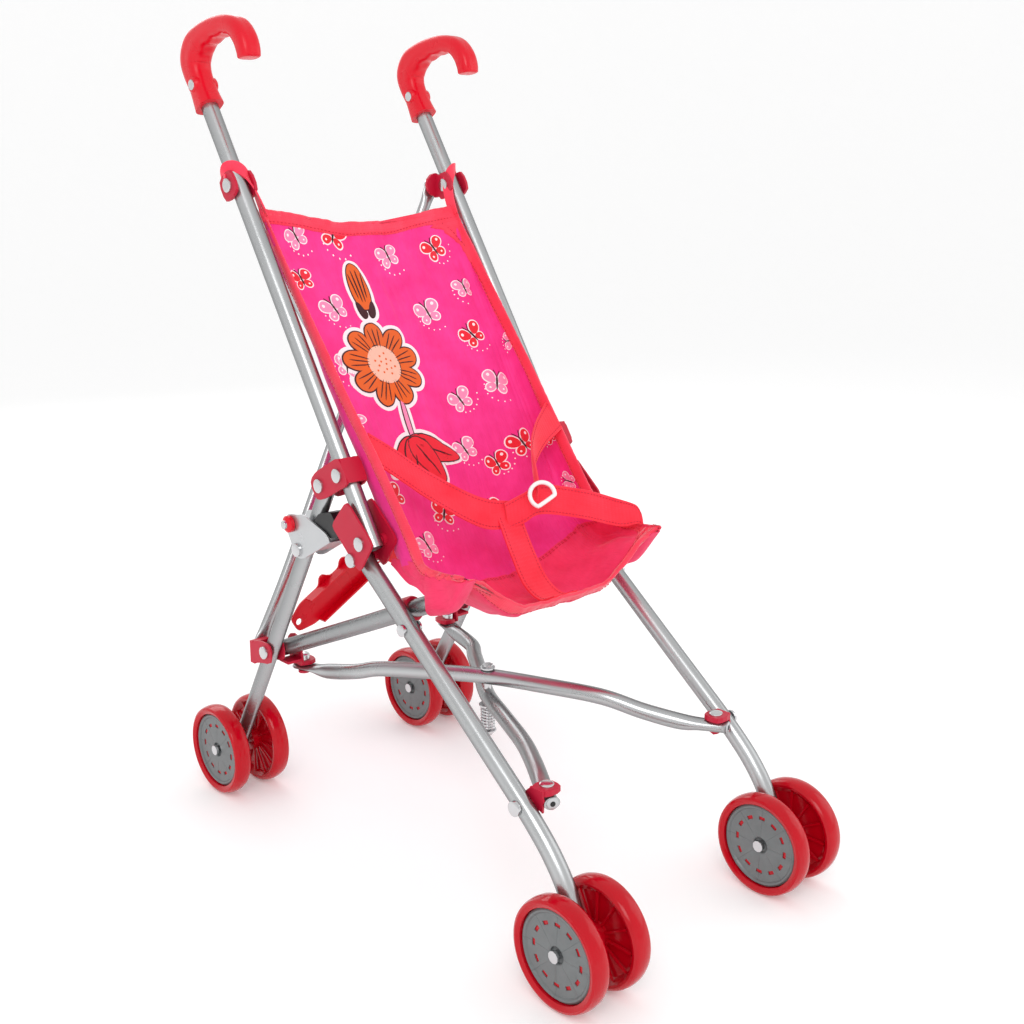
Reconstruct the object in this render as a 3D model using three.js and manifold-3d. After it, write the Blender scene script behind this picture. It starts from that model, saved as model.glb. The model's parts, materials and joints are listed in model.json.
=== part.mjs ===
// A doll's umbrella stroller that folds into a slim bundle. Millimetres, +Z up, floor at z = 0.
// The front of the stroller faces -Y, and y = 0 is midway between the axles.
import * as THREE from "three";
import { mergeVertices } from "three/addons/utils/BufferGeometryUtils.js";
import Module from "manifold-3d";

const wasm = await Module();
wasm.setup();

// ---------------------------------------------------------------- driving sizes
const LEG_X = 95; // from the middle of the stroller to the plane of each side's legs
const TUBE_R = 6; // round frame tubes
const WALL = 1; // tube wall
const PIN_R = 2.5; // hinge pins and rivets
const HEAD_R = 4.4; // rivet heads
const HEAD_T = 1.4;
const AXLE_R = 3;
const RUNNING_GAP = 0.06; // between a pin and its hole
const GAP = 0.3; // between fixed neighbours
const WHEEL_R = 34.8;
const WHEEL_IN = 10; // a wheel's faces, measured from the leg plane
const WHEEL_OUT = 24;
const DISC_R = 28.3;
const SLOTS = 12;
const CLOTH = 1.2; // fabric thickness
const SEG = 12; // sides of round tubes
const PIN_SEG = 10; // sides of pins and their holes

// Points of the side view, as [y, z].
const FRONT_AXLE = [-187.3, 34.8];
const REAR_AXLE = [187.3, 34.8];
const HANDLE_LOW = [4.5, 231.5];
const HANDLE_DIR = [0.5433, 0.8395];
const GRIP_MOUTH = [186.3, 514];
const LEG_HINGE = [7, 236]; // front leg on the handle
const PLATE_RIVET = [17, 223];
const CLIP_RIVET = [33, 276.5];
const REAR_HINGE = [54, 266]; // rear leg on the handle's clip
const LEVER_PIVOT = [83, 215.6];
const RAIL_PIVOT = [134.8, 125.5]; // seat rail and brackets on the rear leg
const FRONT_BRACKET = [-137, 103];
const TOP_BRACKET = [151, 459];

// Where the crossed tubes are bolted, measured inboard (negative) from the leg plane.
const REAR_BOLT = [-24.5, 130.6];
const FRONT_BOLT = [-15.2, -141.5];
const TOP_BOLT_S = -8;
const RAIL_S = -12.5;

// ---------------------------------------------------------------- materials
function material(color, roughness, metalness) {
  return new THREE.MeshStandardMaterial({ color, roughness, metalness });
}
const paint = () => material(0xb4b6ba, 0.38, 0.6);
const redGloss = () => material(0xe00a2c, 0.15, 0);
const redSatin = () => material(0xcf2446, 0.4, 0);
const chrome = () => material(0xd5d6d8, 0.15, 1);
const greyPlastic = () => material(0x93969a, 0.45, 0);
const sheetSteel = () => material(0xa4a6aa, 0.35, 0.8);
const blackPlastic = () => material(0x0c0c0d, 0.35, 0);
const whitePlastic = () => material(0xf1f0ee, 0.3, 0);
const pinkCloth = () => material(0xff2e8e, 0.85, 0);
const redWebbing = () => material(0xf5224a, 0.8, 0);

// ---------------------------------------------------------------- solids
function solid(geometry) {
  const plain = new THREE.BufferGeometry();
  plain.setAttribute("position", geometry.getAttribute("position"));
  if (geometry.index) plain.setIndex(geometry.index);
  const merged = mergeVertices(plain.index ? plain.toNonIndexed() : plain, 1e-4);
  return new wasm.Manifold(
    new wasm.Mesh({
      numProp: 3,
      vertProperties: merged.attributes.position.array,
      triVerts: new Uint32Array(merged.index.array),
    }),
  );
}

function join(...solids) {
  return solids.reduce((sum, one) => sum.add(one));
}

function cut(body, ...tools) {
  return tools.reduce((left, tool) => left.subtract(tool), body);
}

// Each named piece of the stroller is one of these meshes.
function piece(name, body, finish) {
  const mesh = body.getMesh();
  const geometry = new THREE.BufferGeometry();
  geometry.setAttribute("position", new THREE.BufferAttribute(mesh.vertProperties, 3));
  geometry.setIndex(new THREE.BufferAttribute(mesh.triVerts, 1));
  const flat = geometry.toNonIndexed();
  flat.computeVertexNormals();
  const made = new THREE.Mesh(flat, finish);
  made.name = name;
  return made;
}

// Circumradius of a many-sided hole that clears a round pin.
function bore(radius, sides = PIN_SEG) {
  return (radius + RUNNING_GAP) / Math.cos(Math.PI / sides);
}

// Cylinders along each axis, from a to b.
function pinX(y, z, radius, a, b, sides = PIN_SEG) {
  const g = new THREE.CylinderGeometry(radius, radius, b - a, sides);
  g.rotateZ(Math.PI / 2);
  g.translate((a + b) / 2, y, z);
  return solid(g);
}

function pinY(x, z, radius, a, b, sides = PIN_SEG) {
  const g = new THREE.CylinderGeometry(radius, radius, b - a, sides);
  g.translate(x, (a + b) / 2, z);
  return solid(g);
}

function pinZ(x, y, radius, a, b, sides = PIN_SEG) {
  const g = new THREE.CylinderGeometry(radius, radius, b - a, sides);
  g.rotateX(Math.PI / 2);
  g.translate(x, y, (a + b) / 2);
  return solid(g);
}

function box(low, high) {
  const size = high.map((v, i) => v - low[i]);
  const g = new THREE.BoxGeometry(...size);
  g.translate(...high.map((v, i) => (v + low[i]) / 2));
  return solid(g);
}

// A polygon with its corners rounded to the given radius.
function rounded(points, radius, steps = 2) {
  const outline = [];
  points.forEach((corner, i) => {
    const before = points[(i + points.length - 1) % points.length];
    const after = points[(i + 1) % points.length];
    const c = new THREE.Vector2(...corner);
    const u = new THREE.Vector2(...before).sub(c);
    const v = new THREE.Vector2(...after).sub(c);
    const reach = Math.min(radius, 0.45 * u.length(), 0.45 * v.length());
    const start = c.clone().addScaledVector(u.normalize(), reach);
    const end = c.clone().addScaledVector(v.normalize(), reach);
    const curve = new THREE.QuadraticBezierCurve(start, c, end);
    outline.push(...curve.getPoints(steps));
  });
  return outline;
}

function circle(centre, radius, steps = 12) {
  return Array.from({ length: steps }, (_, i) => {
    const a = (2 * Math.PI * i) / steps;
    return new THREE.Vector2(centre[0] + radius * Math.cos(a), centre[1] + radius * Math.sin(a));
  });
}

function extrude(outline, depth) {
  const shape = new THREE.Shape(outline.map((p) => (p.isVector2 ? p : new THREE.Vector2(...p))));
  return new THREE.ExtrudeGeometry(shape, { depth, bevelEnabled: false });
}

// Flat plates square to each axis, between a and b.
function plateX(outline, a, b) {
  const g = extrude(outline, b - a);
  const turn = new THREE.Matrix4().set(0, 0, 1, a, 1, 0, 0, 0, 0, 1, 0, 0, 0, 0, 0, 1);
  return solid(g.applyMatrix4(turn));
}

function plateY(outline, a, b) {
  const g = extrude(outline, b - a);
  const turn = new THREE.Matrix4().set(1, 0, 0, 0, 0, 0, -1, b, 0, 1, 0, 0, 0, 0, 0, 1);
  return solid(g.applyMatrix4(turn));
}

function plateZ(outline, a, b) {
  const g = extrude(outline, b - a);
  return solid(g.translate(0, 0, a));
}

// The same plate on both sides of the leg plane.
function cheeks(outline, near, far) {
  return [plateX(outline, near, far), plateX(outline, -far, -near)];
}

// A surface through rings of points, closed end to end, or round on itself for a hollow tube.
function skin(rings, loop) {
  const n = rings[0].length;
  const faces = [];
  const count = loop ? rings.length : rings.length - 1;
  for (let i = 0; i < count; i++) {
    const a = rings[i];
    const b = rings[(i + 1) % rings.length];
    for (let j = 0; j < n; j++) {
      const k = (j + 1) % n;
      faces.push(a[j], a[k], b[k], a[j], b[k], b[j]);
    }
  }
  if (!loop) {
    const first = rings[0];
    const last = rings[rings.length - 1];
    for (let j = 1; j < n - 1; j++) {
      faces.push(first[0], first[j + 1], first[j]);
      faces.push(last[0], last[j], last[j + 1]);
    }
  }
  const g = new THREE.BufferGeometry().setFromPoints(faces);
  return solid(g);
}

// A tube along stations {at, wide, deep}; across is the direction that wide is measured in.
function loft(stations, across, { wall = 0, sides = SEG } = {}) {
  const points = stations.map((s) => new THREE.Vector3(...s.at));
  const side = new THREE.Vector3(...across).normalize();
  const ring = (i, inset) => {
    const before = points[Math.max(i - 1, 0)];
    const after = points[Math.min(i + 1, points.length - 1)];
    const along = after.clone().sub(before).normalize();
    const u = side.clone().addScaledVector(along, -side.dot(along)).normalize();
    const v = along.clone().cross(u);
    return Array.from({ length: sides }, (_, j) => {
      const a = (2 * Math.PI * j) / sides;
      return points[i]
        .clone()
        .addScaledVector(u, (stations[i].wide - inset) * Math.cos(a))
        .addScaledVector(v, (stations[i].deep - inset) * Math.sin(a));
    });
  };
  const outer = points.map((_, i) => ring(i, 0));
  if (!wall) return skin(outer, false);
  const inner = points.map((_, i) => ring(i, wall)).reverse();
  return skin([...outer, ...inner], true);
}

// Round tube stations through side-view points at one distance from the leg plane.
function sidePath(points, s = 0, wide = TUBE_R, deep = TUBE_R) {
  return points.map(([y, z]) => ({ at: [s, y, z], wide, deep }));
}

function smooth(points, count) {
  const curve = new THREE.CatmullRomCurve3(points.map((p) => new THREE.Vector3(...p)), false, "centripetal");
  return curve.getSpacedPoints(count).map((p) => p.toArray());
}

function along(from, dir, distance) {
  return [from[0] + dir[0] * distance, from[1] + dir[1] * distance];
}

// A lathe turned round the X axis from a closed profile of [radius, distance from the leg plane].
function turnedX(profile, sides = 20) {
  const closed = [...profile, profile[0]].reverse().map(([r, s]) => new THREE.Vector2(r, s));
  const g = new THREE.LatheGeometry(closed, sides);
  g.rotateZ(-Math.PI / 2);
  return solid(g);
}

// A thin sheet from a grid of points; it lies behind the grid, away from its normal.
function sheet(grid, thickness) {
  const rows = grid.length;
  const cols = grid[0].length;
  const top = grid.map((row) => row.map((p) => new THREE.Vector3(...p)));
  const under = top.map((row, i) =>
    row.map((p, j) => {
      const du = top[i][Math.min(j + 1, cols - 1)].clone().sub(top[i][Math.max(j - 1, 0)]);
      const dv = top[Math.min(i + 1, rows - 1)][j].clone().sub(top[Math.max(i - 1, 0)][j]);
      return p.clone().addScaledVector(du.cross(dv).normalize(), thickness);
    }),
  );
  const faces = [];
  const quad = (a, b, c, d) => faces.push(a, b, c, a, c, d);
  for (let i = 0; i < rows - 1; i++) {
    for (let j = 0; j < cols - 1; j++) {
      quad(top[i][j], top[i + 1][j], top[i + 1][j + 1], top[i][j + 1]);
      quad(under[i][j], under[i][j + 1], under[i + 1][j + 1], under[i + 1][j]);
    }
  }
  for (let j = 0; j < cols - 1; j++) {
    quad(top[0][j], top[0][j + 1], under[0][j + 1], under[0][j]);
    quad(top[rows - 1][j + 1], top[rows - 1][j], under[rows - 1][j], under[rows - 1][j + 1]);
  }
  for (let i = 0; i < rows - 1; i++) {
    quad(top[i + 1][0], top[i][0], under[i][0], under[i + 1][0]);
    quad(top[i][cols - 1], top[i + 1][cols - 1], under[i + 1][cols - 1], under[i][cols - 1]);
  }
  return solid(new THREE.BufferGeometry().setFromPoints(faces));
}

// ---------------------------------------------------------------- one side of the frame
// Built with x as the distance outboard of the leg plane; the left side is its mirror image.
function handleTube() {
  const top = along(GRIP_MOUTH, HANDLE_DIR, 13);
  const tube = loft(sidePath([HANDLE_LOW, top]), [1, 0, 0], { wall: WALL });
  const hingeHole = pinX(...LEG_HINGE, bore(PIN_R), -10, 10);
  const bracketHole = pinX(...TOP_BRACKET, bore(PIN_R), -10, 10);
  return cut(tube, hingeHole, bracketHole);
}

function grip() {
  // Centre line of the hook as [y, z, half thickness, half width].
  const line = [
    [...GRIP_MOUTH, 9.5, 9],
    [191, 521, 8.2, 8.2],
    [196, 529, 8.5, 8.2],
    [200.5, 538, 10.5, 8.6],
    [198, 549, 11.5, 8.8],
    [185, 558, 8, 8.8],
    [170, 562, 6.5, 8.6],
    [155, 563.5, 5.5, 8.4],
    [143, 561, 6, 8.2],
    [135.5, 554, 6.5, 8],
    [131.5, 547, 6.4, 7.6],
    [130.5, 541, 5, 6],
  ];
  const stations = line.map(([y, z, deep, wide]) => ({ at: [0, y, z], wide, deep }));
  const hook = loft(stations, [1, 0, 0]);
  const rivet = pinX(193, 527.5, 4.6, -9.6, 9.6);
  const low = along(GRIP_MOUTH, HANDLE_DIR, -3);
  const high = along(GRIP_MOUTH, HANDLE_DIR, 14);
  const socket = loft(sidePath([low, high], 0, TUBE_R + GAP, TUBE_R + GAP), [1, 0, 0]);
  return cut(join(hook, rivet), socket);
}

function uClip() {
  const n = [-HANDLE_DIR[1], HANDLE_DIR[0]];
  const front = along(CLIP_RIVET, n, 8.2);
  const corner = (d) => along(front, HANDLE_DIR, d);
  const end = along(REAR_HINGE, n, -9);
  const outline = [
    corner(10),
    corner(-10),
    along(REAR_HINGE, HANDLE_DIR, -9.6),
    along(end, HANDLE_DIR, -7),
    along(end, HANDLE_DIR, 7),
    along(REAR_HINGE, HANDLE_DIR, 9.6),
  ];
  const shape = rounded(outline, 5);
  const back = along(CLIP_RIVET, n, TUBE_R + GAP);
  const wrap = plateX(
    [corner(8.5), corner(-8.5), along(back, HANDLE_DIR, -8.5), along(back, HANDLE_DIR, 8.5)],
    -7.5,
    7.5,
  );
  const pin = pinX(...REAR_HINGE, PIN_R, -8.5, 8.5);
  const heads = [CLIP_RIVET, REAR_HINGE].flatMap((p) => [
    pinX(...p, HEAD_R, 8, 8.2 + HEAD_T),
    pinX(...p, HEAD_R, -9, -8),
  ]);
  return join(...cheeks(shape, 6.4, 8.2), wrap, pin, ...heads);
}

function hingePlates() {
  const shape = rounded([[21, 262], [-6.8, 238.2], [8, 216.5], [38.4, 242.3]], 4);
  const spacers = [LEG_HINGE, PLATE_RIVET].flatMap((p) => [
    pinX(...p, 4, TUBE_R + GAP, 9),
    pinX(...p, 4, -9, -TUBE_R - GAP),
  ]);
  const heads = [LEG_HINGE, PLATE_RIVET].flatMap((p) => [
    pinX(...p, HEAD_R, 10.2, 10.4 + HEAD_T),
    pinX(...p, HEAD_R, -11.4, -10.2),
  ]);
  const pin = pinX(...LEG_HINGE, PIN_R, -9, 9);
  return join(...cheeks(shape, 8.9, 10.4), ...spacers, ...heads, pin);
}

const LEG_DIR = [0.7885, 0.615];

function frontLeg() {
  const line = [[31.5, 234.4], [-140, 100.7], [-158, 85], [-172, 68.5], [-182, 51], FRONT_AXLE,
    [-189.4, 27]];
  const tube = loft(sidePath(line), [1, 0, 0], { wall: WALL });
  const axleHole = pinX(...FRONT_AXLE, bore(AXLE_R), -10, 10);
  const bracketHole = pinX(...FRONT_BRACKET, bore(PIN_R), -10, 10);
  return cut(tube, axleHole, bracketHole);
}

function legPlug() {
  const shape = rounded([[58, 246], [44, 249.5], [38, 242], [36.2, 232.6], [47.5, 231.4], [64, 239.6]], 2);
  const block = plateX(shape, -6.8, 6.8);
  const mouth = [38.5, 239.9];
  const spigot = loft(
    sidePath([mouth, along(mouth, LEG_DIR, -16)], 0, TUBE_R - WALL - GAP, TUBE_R - WALL - GAP),
    [1, 0, 0],
    { sides: 12 },
  );
  // The rear leg's front face, which the plug butts against.
  const face = plateX([[46.6, 265.5], [91, 188], [110, 200], [66, 276]], -4.9, 4.9);
  return cut(join(block, spigot), face);
}

const REAR_DIR = (() => {
  const y = REAR_AXLE[0] - REAR_HINGE[0];
  const z = REAR_AXLE[1] - REAR_HINGE[1];
  return [y / Math.hypot(y, z), z / Math.hypot(y, z)];
})();

const LINK_PIVOT = [-16.5, 147.2];
const BRACE_Y = 124; // where the two links of the folding brace slide on each other

function rearLeg(pinned) {
  const ends = [along(REAR_HINGE, REAR_DIR, -7), along(REAR_AXLE, REAR_DIR, 8)];
  const tube = loft(sidePath(ends, 0, 4.5, 6.5), [1, 0, 0], { wall: WALL });
  const holes = [
    pinX(...REAR_HINGE, bore(PIN_R), -10, 10),
    pinX(...LEVER_PIVOT, bore(PIN_R), -10, 10),
    pinX(...REAR_AXLE, bore(AXLE_R), -10, 10),
  ];
  const railPin = join(
    pinX(...RAIL_PIVOT, PIN_R, -21, 7),
    pinX(...RAIL_PIVOT, HEAD_R, 6.7, 6.7 + HEAD_T),
    pinX(...RAIL_PIVOT, HEAD_R, -22.2, -20.8),
  );
  // A lug on the leg carries the outer end of the folding brace.
  const back = pinned ? BRACE_Y + 2.3 : BRACE_Y;
  const lug = plateY(rounded([[-4.2, 140], [-4.2, 153], [-22.5, 152], [-22.5, 141]], 5), back - 1.9, back);
  const front = pinned ? BRACE_Y - 3 : BRACE_Y - 3.2;
  const rivet = join(
    pinY(...LINK_PIVOT, HEAD_R, front, front + HEAD_T),
    pinY(...LINK_PIVOT, PIN_R, front + 1, back - 1),
  );
  return join(cut(tube, ...holes), railPin, lug, rivet);
}

function axle([y, z]) {
  return join(
    pinX(y, z, AXLE_R, -22.6, 22.6),
    pinX(y, z, 3.9, 21.2, 23.2),
    pinX(y, z, 3.9, -23.2, -21.2),
  );
}

function wheel() {
  return turnedX([
    [bore(AXLE_R, 20), 7.4],
    [bore(AXLE_R, 20), 17.8],
    [DISC_R + 0.6, 17.8],
    [DISC_R + 0.6, 22.6],
    [31.6, WHEEL_OUT],
    [34.2, 22],
    [WHEEL_R, 17],
    [34.2, 12],
    [31.6, WHEEL_IN],
    [26, 14],
    [8, 13.4],
    [8, 7.4],
  ]);
}

function hubDisc() {
  const disc = turnedX([
    [3.6, 18.1],
    [3.6, 20.9],
    [DISC_R, 20.9],
    [DISC_R, 18.1],
  ], 24);
  const slots = Array.from({ length: SLOTS }, (_, i) => {
    const slot = new THREE.BoxGeometry(6, 3, 5.6);
    slot.translate(19.5, 0, 21);
    slot.rotateX((2 * Math.PI * i) / SLOTS);
    return solid(slot);
  });
  return cut(disc, ...slots);
}

// Moves a wheel piece to its axle, mirrored to the inboard side when asked.
function placed(body, [y, z], inboard) {
  const turned = inboard ? body.mirror([1, 0, 0]) : body;
  return turned.translate([0, y, z]);
}

function seatRail() {
  const line = [[141.8, 122.4], [97, 142], [29, 172], [-30, 198.6], [-71, 214.7]];
  const tube = loft(sidePath(line, RAIL_S), [1, 0, 0], { wall: WALL });
  return cut(tube, pinX(...RAIL_PIVOT, bore(PIN_R), -20, -5));
}

function rearBracket(pinned) {
  const cheek = join(
    plateX(circle(RAIL_PIVOT, 9), -20.4, -18.9),
    plateX(rounded([[124, 111], [140, 111], [143.8, 126], [125.8, 126]], 2), -20.4, -18.9),
  );
  const hole = pinX(...RAIL_PIVOT, bore(PIN_R), -22, -15);
  const cradle = box([-20.4, 125, 115.2], [-7.2, 136.5, 117.2]);
  const ear = plateZ(rounded([[-33, 124], [-19, 124], [-19, 140], [-33, 140]], 6), 111, 114);
  const parts = [cheek, cradle, ear, pinZ(...REAR_BOLT, 3.6, 113.5, 118.6, 12)];
  if (pinned) {
    parts.push(pinZ(...REAR_BOLT, PIN_R, 104.8, 112), pinZ(...REAR_BOLT, HEAD_R, 104, 105.9));
  }
  return cut(join(...parts), hole);
}

function frontBracket() {
  const across = [LEG_DIR[1], -LEG_DIR[0]];
  const foot = (d, n) => along(along(FRONT_BRACKET, across, n), LEG_DIR, d);
  const outline = rounded([foot(8, -7), foot(-8, -7), foot(-5, 10.5), foot(5, 10.5)], 5);
  const inner = plateX(rounded([[-148, 108], [-135, 108], [-131, 98], [-146, 100]], 2), -7.9, -6.4);
  const ear = plateZ(
    rounded([[-7, -149], [-7, -135], [-22, -135], [-22, -149]], 5),
    109.2,
    112.8,
  );
  const tie = plateX([[-147, 99], [-136, 104], [-136, 112.8], [-147, 112.8]], -7.9, -6.4);
  return join(
    plateX(outline, -7.9, -6.4),
    inner,
    tie,
    ear,
    pinX(...FRONT_BRACKET, PIN_R, -7, 7),
    pinX(...FRONT_BRACKET, HEAD_R, 6.4, 7.9),
    pinZ(...FRONT_BOLT, 3.6, 112.5, 114, 12),
  );
}

function topBracket(pinned) {
  const back = [HANDLE_DIR[1], -HANDLE_DIR[0]];
  const foot = (d, n) => along(along(TOP_BRACKET, back, n), HANDLE_DIR, d);
  const outline = rounded([foot(9, -8.5), foot(-9, -8.5), foot(-9, 9.8), foot(9, 9.8)], 6);
  const saddle = plateX([foot(-4.5, 8), foot(-4.5, 9.8), foot(4.5, 9.8), foot(4.5, 8)], -8, 8);
  const arm = plateX(rounded([[152, 451], [163, 449], [163, 468], [154, 466]], 2), -8.6, -6.4);
  const lug = plateY(circle([TOP_BOLT_S, TOP_BRACKET[1]], 9), 160.6, 163);
  const parts = [
    ...cheeks(outline, 6.4, 8.6),
    saddle,
    arm,
    cut(lug, box([-6.3, 155, 440], [8, 170, 475])),
    pinX(...TOP_BRACKET, PIN_R, -8, 8),
    pinX(...TOP_BRACKET, HEAD_R, 8.4, 10),
    pinX(...TOP_BRACKET, 3.6, -9.6, -8.4),
  ];
  if (pinned) {
    parts.push(
      pinY(TOP_BOLT_S, TOP_BRACKET[1], 2, 162, 168.6, 12),
      pinY(TOP_BOLT_S, TOP_BRACKET[1], 3.6, 168, 169.4, 12),
    );
  }
  return join(...parts);
}

function backFoot() {
  const shape = rounded([[127, 118], [127, 133], [141, 133], [152.5, 130], [152.5, 112], [141, 116]], 5);
  const sides = [plateX(shape, 4.9, 6.3), plateX(shape, -6.1, -4.9)];
  const block = plateX(rounded([[146.6, 131], [152.5, 130], [152.5, 112], [149.6, 113]], 1), -6, 6);
  return cut(
    join(...sides, block, box([-7.6, 150, 112.5], [6.3, 155.4, 129.5])),
    pinX(...RAIL_PIVOT, bore(PIN_R), -8, 8),
  );
}

function lockLever() {
  const shape = rounded(
    [[42.8, 229.5], [75.3, 210.8], [84, 209.6], [89.5, 218], [96.4, 230], [94, 239.5], [84, 240.5],
      [74, 242.4], [66, 239.5], [56, 237], [47, 234]],
    3,
  );
  const web = plateX([[43.6, 229], [60, 219.5], [60.6, 220.6], [44.2, 230.2]], -7.8, 7.8);
  const heads = [pinX(...LEVER_PIVOT, HEAD_R, 8.3, 8.5 + HEAD_T), pinX(...LEVER_PIVOT, HEAD_R, -9.6, -8.3)];
  const pin = pinX(...LEVER_PIVOT, PIN_R, -8, 8);
  return join(...cheeks(shape, 7.3, 8.5), web, ...heads, pin);
}

function leverKnob() {
  const profile = [[0, 8.8], [0, 13.2], [3.4, 13.2], [5.9, 11.4], [5.9, 8.8]];
  return turnedX(profile, 14).translate([0, 90, 233]);
}

// The pieces of one side. The left side also carries the pins of the crossed tubes.
function sideFrame(side) {
  const left = side === "left";
  const group = new THREE.Group();
  const add = (name, body, finish) => group.add(piece(side + "_" + name, body, finish));
  add("grip", grip(), redGloss());
  add("handle_tube", handleTube(), paint());
  add("u_clip", uClip(), redSatin());
  add("hinge_plates", hingePlates(), redSatin());
  add("front_leg", frontLeg(), paint());
  add("leg_plug", legPlug(), blackPlastic());
  add("rear_leg", rearLeg(left), paint());
  add("front_axle", axle(FRONT_AXLE), chrome());
  add("rear_axle", axle(REAR_AXLE), chrome());
  add("seat_rail", seatRail(), paint());
  add("rear_bracket", rearBracket(left), redSatin());
  add("front_bracket", frontBracket(), redSatin());
  add("top_bracket", topBracket(left), redSatin());
  add("back_x_foot", backFoot(), redSatin());
  add("lock_lever", lockLever(), sheetSteel());
  add("lever_knob", leverKnob(), redGloss());
  for (const [end, centre] of [["front", FRONT_AXLE], ["rear", REAR_AXLE]]) {
    for (const [place, inboard] of [["outer", false], ["inner", true]]) {
      add(`${end}_${place}_wheel`, placed(wheel(), centre, inboard), redGloss());
      add(`${end}_${place}_disc`, placed(hubDisc(), centre, inboard), greyPlastic());
    }
  }
  group.position.x = left ? -LEG_X : LEG_X;
  group.scale.x = left ? -1 : 1;
  return group;
}

// ---------------------------------------------------------------- pieces between the sides
const TOP_X = LEG_X + TOP_BOLT_S;
const FOOT_X = LEG_X - 2.5;
const REAR_X = LEG_X + REAR_BOLT[0];
const FRONT_X = LEG_X + FRONT_BOLT[0];
const CROSS_Y = 1.9;
const BACK_CROSS_Z = 459 - (338 * TOP_X) / (TOP_X + FOOT_X);

// One crossed tube of the back, from the top bracket on side -1 or 1 to the foot opposite.
function backTube(side, middleY) {
  const stations = [
    { at: [side * (TOP_X + 2.3), 165.4, 463.4], wide: 1.9, deep: 5 },
    { at: [side * TOP_X, 165.4, 459], wide: 1.9, deep: 6 },
    { at: [side * (TOP_X - 4), 165.4, 451.4], wide: 1.9, deep: 6 },
    { at: [side * (TOP_X - 9), 164.8, 442], wide: 3.6, deep: 4.7 },
    { at: [side * 24, middleY + (165.4 - middleY) * 0.25, BACK_CROSS_Z + 45], wide: 3.6, deep: 4.7 },
    { at: [side * 5.5, middleY, BACK_CROSS_Z + 10], wide: 2.5, deep: 5 },
    { at: [-side * 5.5, middleY, BACK_CROSS_Z - 10], wide: 2.5, deep: 5 },
    { at: [-side * 24, middleY + (158 - middleY) * 0.25, BACK_CROSS_Z - 45], wide: 3.6, deep: 4.7 },
    { at: [-side * (FOOT_X - 9), 158.6, 138], wide: 3.2, deep: 4.7 },
    { at: [-side * (FOOT_X - 3.5), 158, 127.6], wide: 1.9, deep: 6 },
    { at: [-side * FOOT_X, 158, 121], wide: 1.9, deep: 6 },
    { at: [-side * (FOOT_X + 2.6), 158, 116], wide: 1.9, deep: 5 },
  ];
  return cut(loft(stations, [0, 1, 0], { sides: 12 }), pinY(0, BACK_CROSS_Z, bore(2, 12), 150, 175, 12));
}

// One crossed tube of the base, from the rear bracket on one side to the front bracket opposite.
function baseTube(side, middleZ) {
  const rise = middleZ - 108;
  const stations = smooth(
    [
      [side * (REAR_X - 6), 112, 108],
      [side * 45, 68, 108 + rise * 0.85],
      [0, CROSS_Y, middleZ],
      [-side * 37, -75, 108 + rise * 0.8],
      [-side * (FRONT_X - 14), -121, 105.4],
    ],
    10,
  ).map((at) => ({ at, wide: TUBE_R - 0.4, deep: TUBE_R - 0.2 }));
  // The ends are pressed flat for their bolts.
  const flat = (x, y, z, deep) => ({ at: [side * x, y, z], wide: 2, deep });
  stations.unshift(flat(REAR_X + 2.4, 137.5, 108.4, 5), flat(REAR_X + 1, 134, 108.4, 7), flat(REAR_X - 3, 123, 108.4, 7));
  stations.push(
    flat(-(FRONT_X - 6), -133, 105, 5.6),
    flat(-(FRONT_X + 1.4), -145, 105, 5.6),
    flat(-(FRONT_X + 2.6), -148.5, 105, 4.4),
  );
  return loft(stations, [0, 0, 1], { sides: 12 });
}

function bottomSpring() {
  const turns = 4;
  const steps = 8;
  const points = Array.from({ length: turns * steps + 1 }, (_, i) => {
    const a = (2 * Math.PI * i) / steps;
    return new THREE.Vector3(4.9 * Math.cos(a), CROSS_Y + 4.9 * Math.sin(a), 95.6 - (i / (turns * steps)) * 15);
  });
  const rings = points.map((p, i) => {
    const a = (2 * Math.PI * i) / steps;
    const out = new THREE.Vector3(Math.cos(a), Math.sin(a), 0);
    return Array.from({ length: 5 }, (_, j) => {
      const b = (-2 * Math.PI * j) / 5;
      return p.clone().addScaledVector(out, 0.95 * Math.cos(b)).add(new THREE.Vector3(0, 0, 0.95 * Math.sin(b)));
    });
  });
  return skin(rings, false);
}

const LINK_X = LEG_X + LINK_PIVOT[0];
const APEX_Z = 193;
const LINK_HALF = 11;

// One link of the folding brace: a channel with its flanges on one side of the web.
function lockLink(side, webBack, flangeTo, holes) {
  const start = new THREE.Vector2(side * LINK_X, LINK_PIVOT[1]);
  const dir = new THREE.Vector2(-side * LINK_X, APEX_Z - LINK_PIVOT[1]).normalize();
  const up = new THREE.Vector2(-dir.y, dir.x).multiplyScalar(-side);
  const length = Math.hypot(LINK_X, APEX_Z - LINK_PIVOT[1]);
  const at = (d, n) => {
    const p = start.clone().addScaledVector(dir, d).addScaledVector(up, n);
    return [p.x, p.y];
  };
  const outline = [
    [-4.4, -6], [10, -LINK_HALF], [length - 6, -LINK_HALF], [length + 8, -6], [length + 8, 7],
    [length - 4, LINK_HALF], [62, LINK_HALF], [56, 16], [52, 15], [49, LINK_HALF],
    [40, LINK_HALF], [35, 17], [31, 16], [28, LINK_HALF], [8, LINK_HALF], [-4.4, 6],
  ].map(([d, n]) => at(d, n));
  const web = plateY(rounded(outline, 3, 2), webBack - 1.5, webBack);
  const strip = (n0, n1) => {
    const [a, b] = [Math.min(flangeTo, webBack - 0.75), Math.max(flangeTo, webBack - 0.75)];
    return plateY([at(14, n0), at(length - 16, n0), at(length - 16, n1), at(14, n1)], a, b);
  };
  const body = join(web, strip(-LINK_HALF, 1.4 - LINK_HALF), strip(LINK_HALF - 1.4, LINK_HALF));
  return cut(body, ...holes);
}

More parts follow.
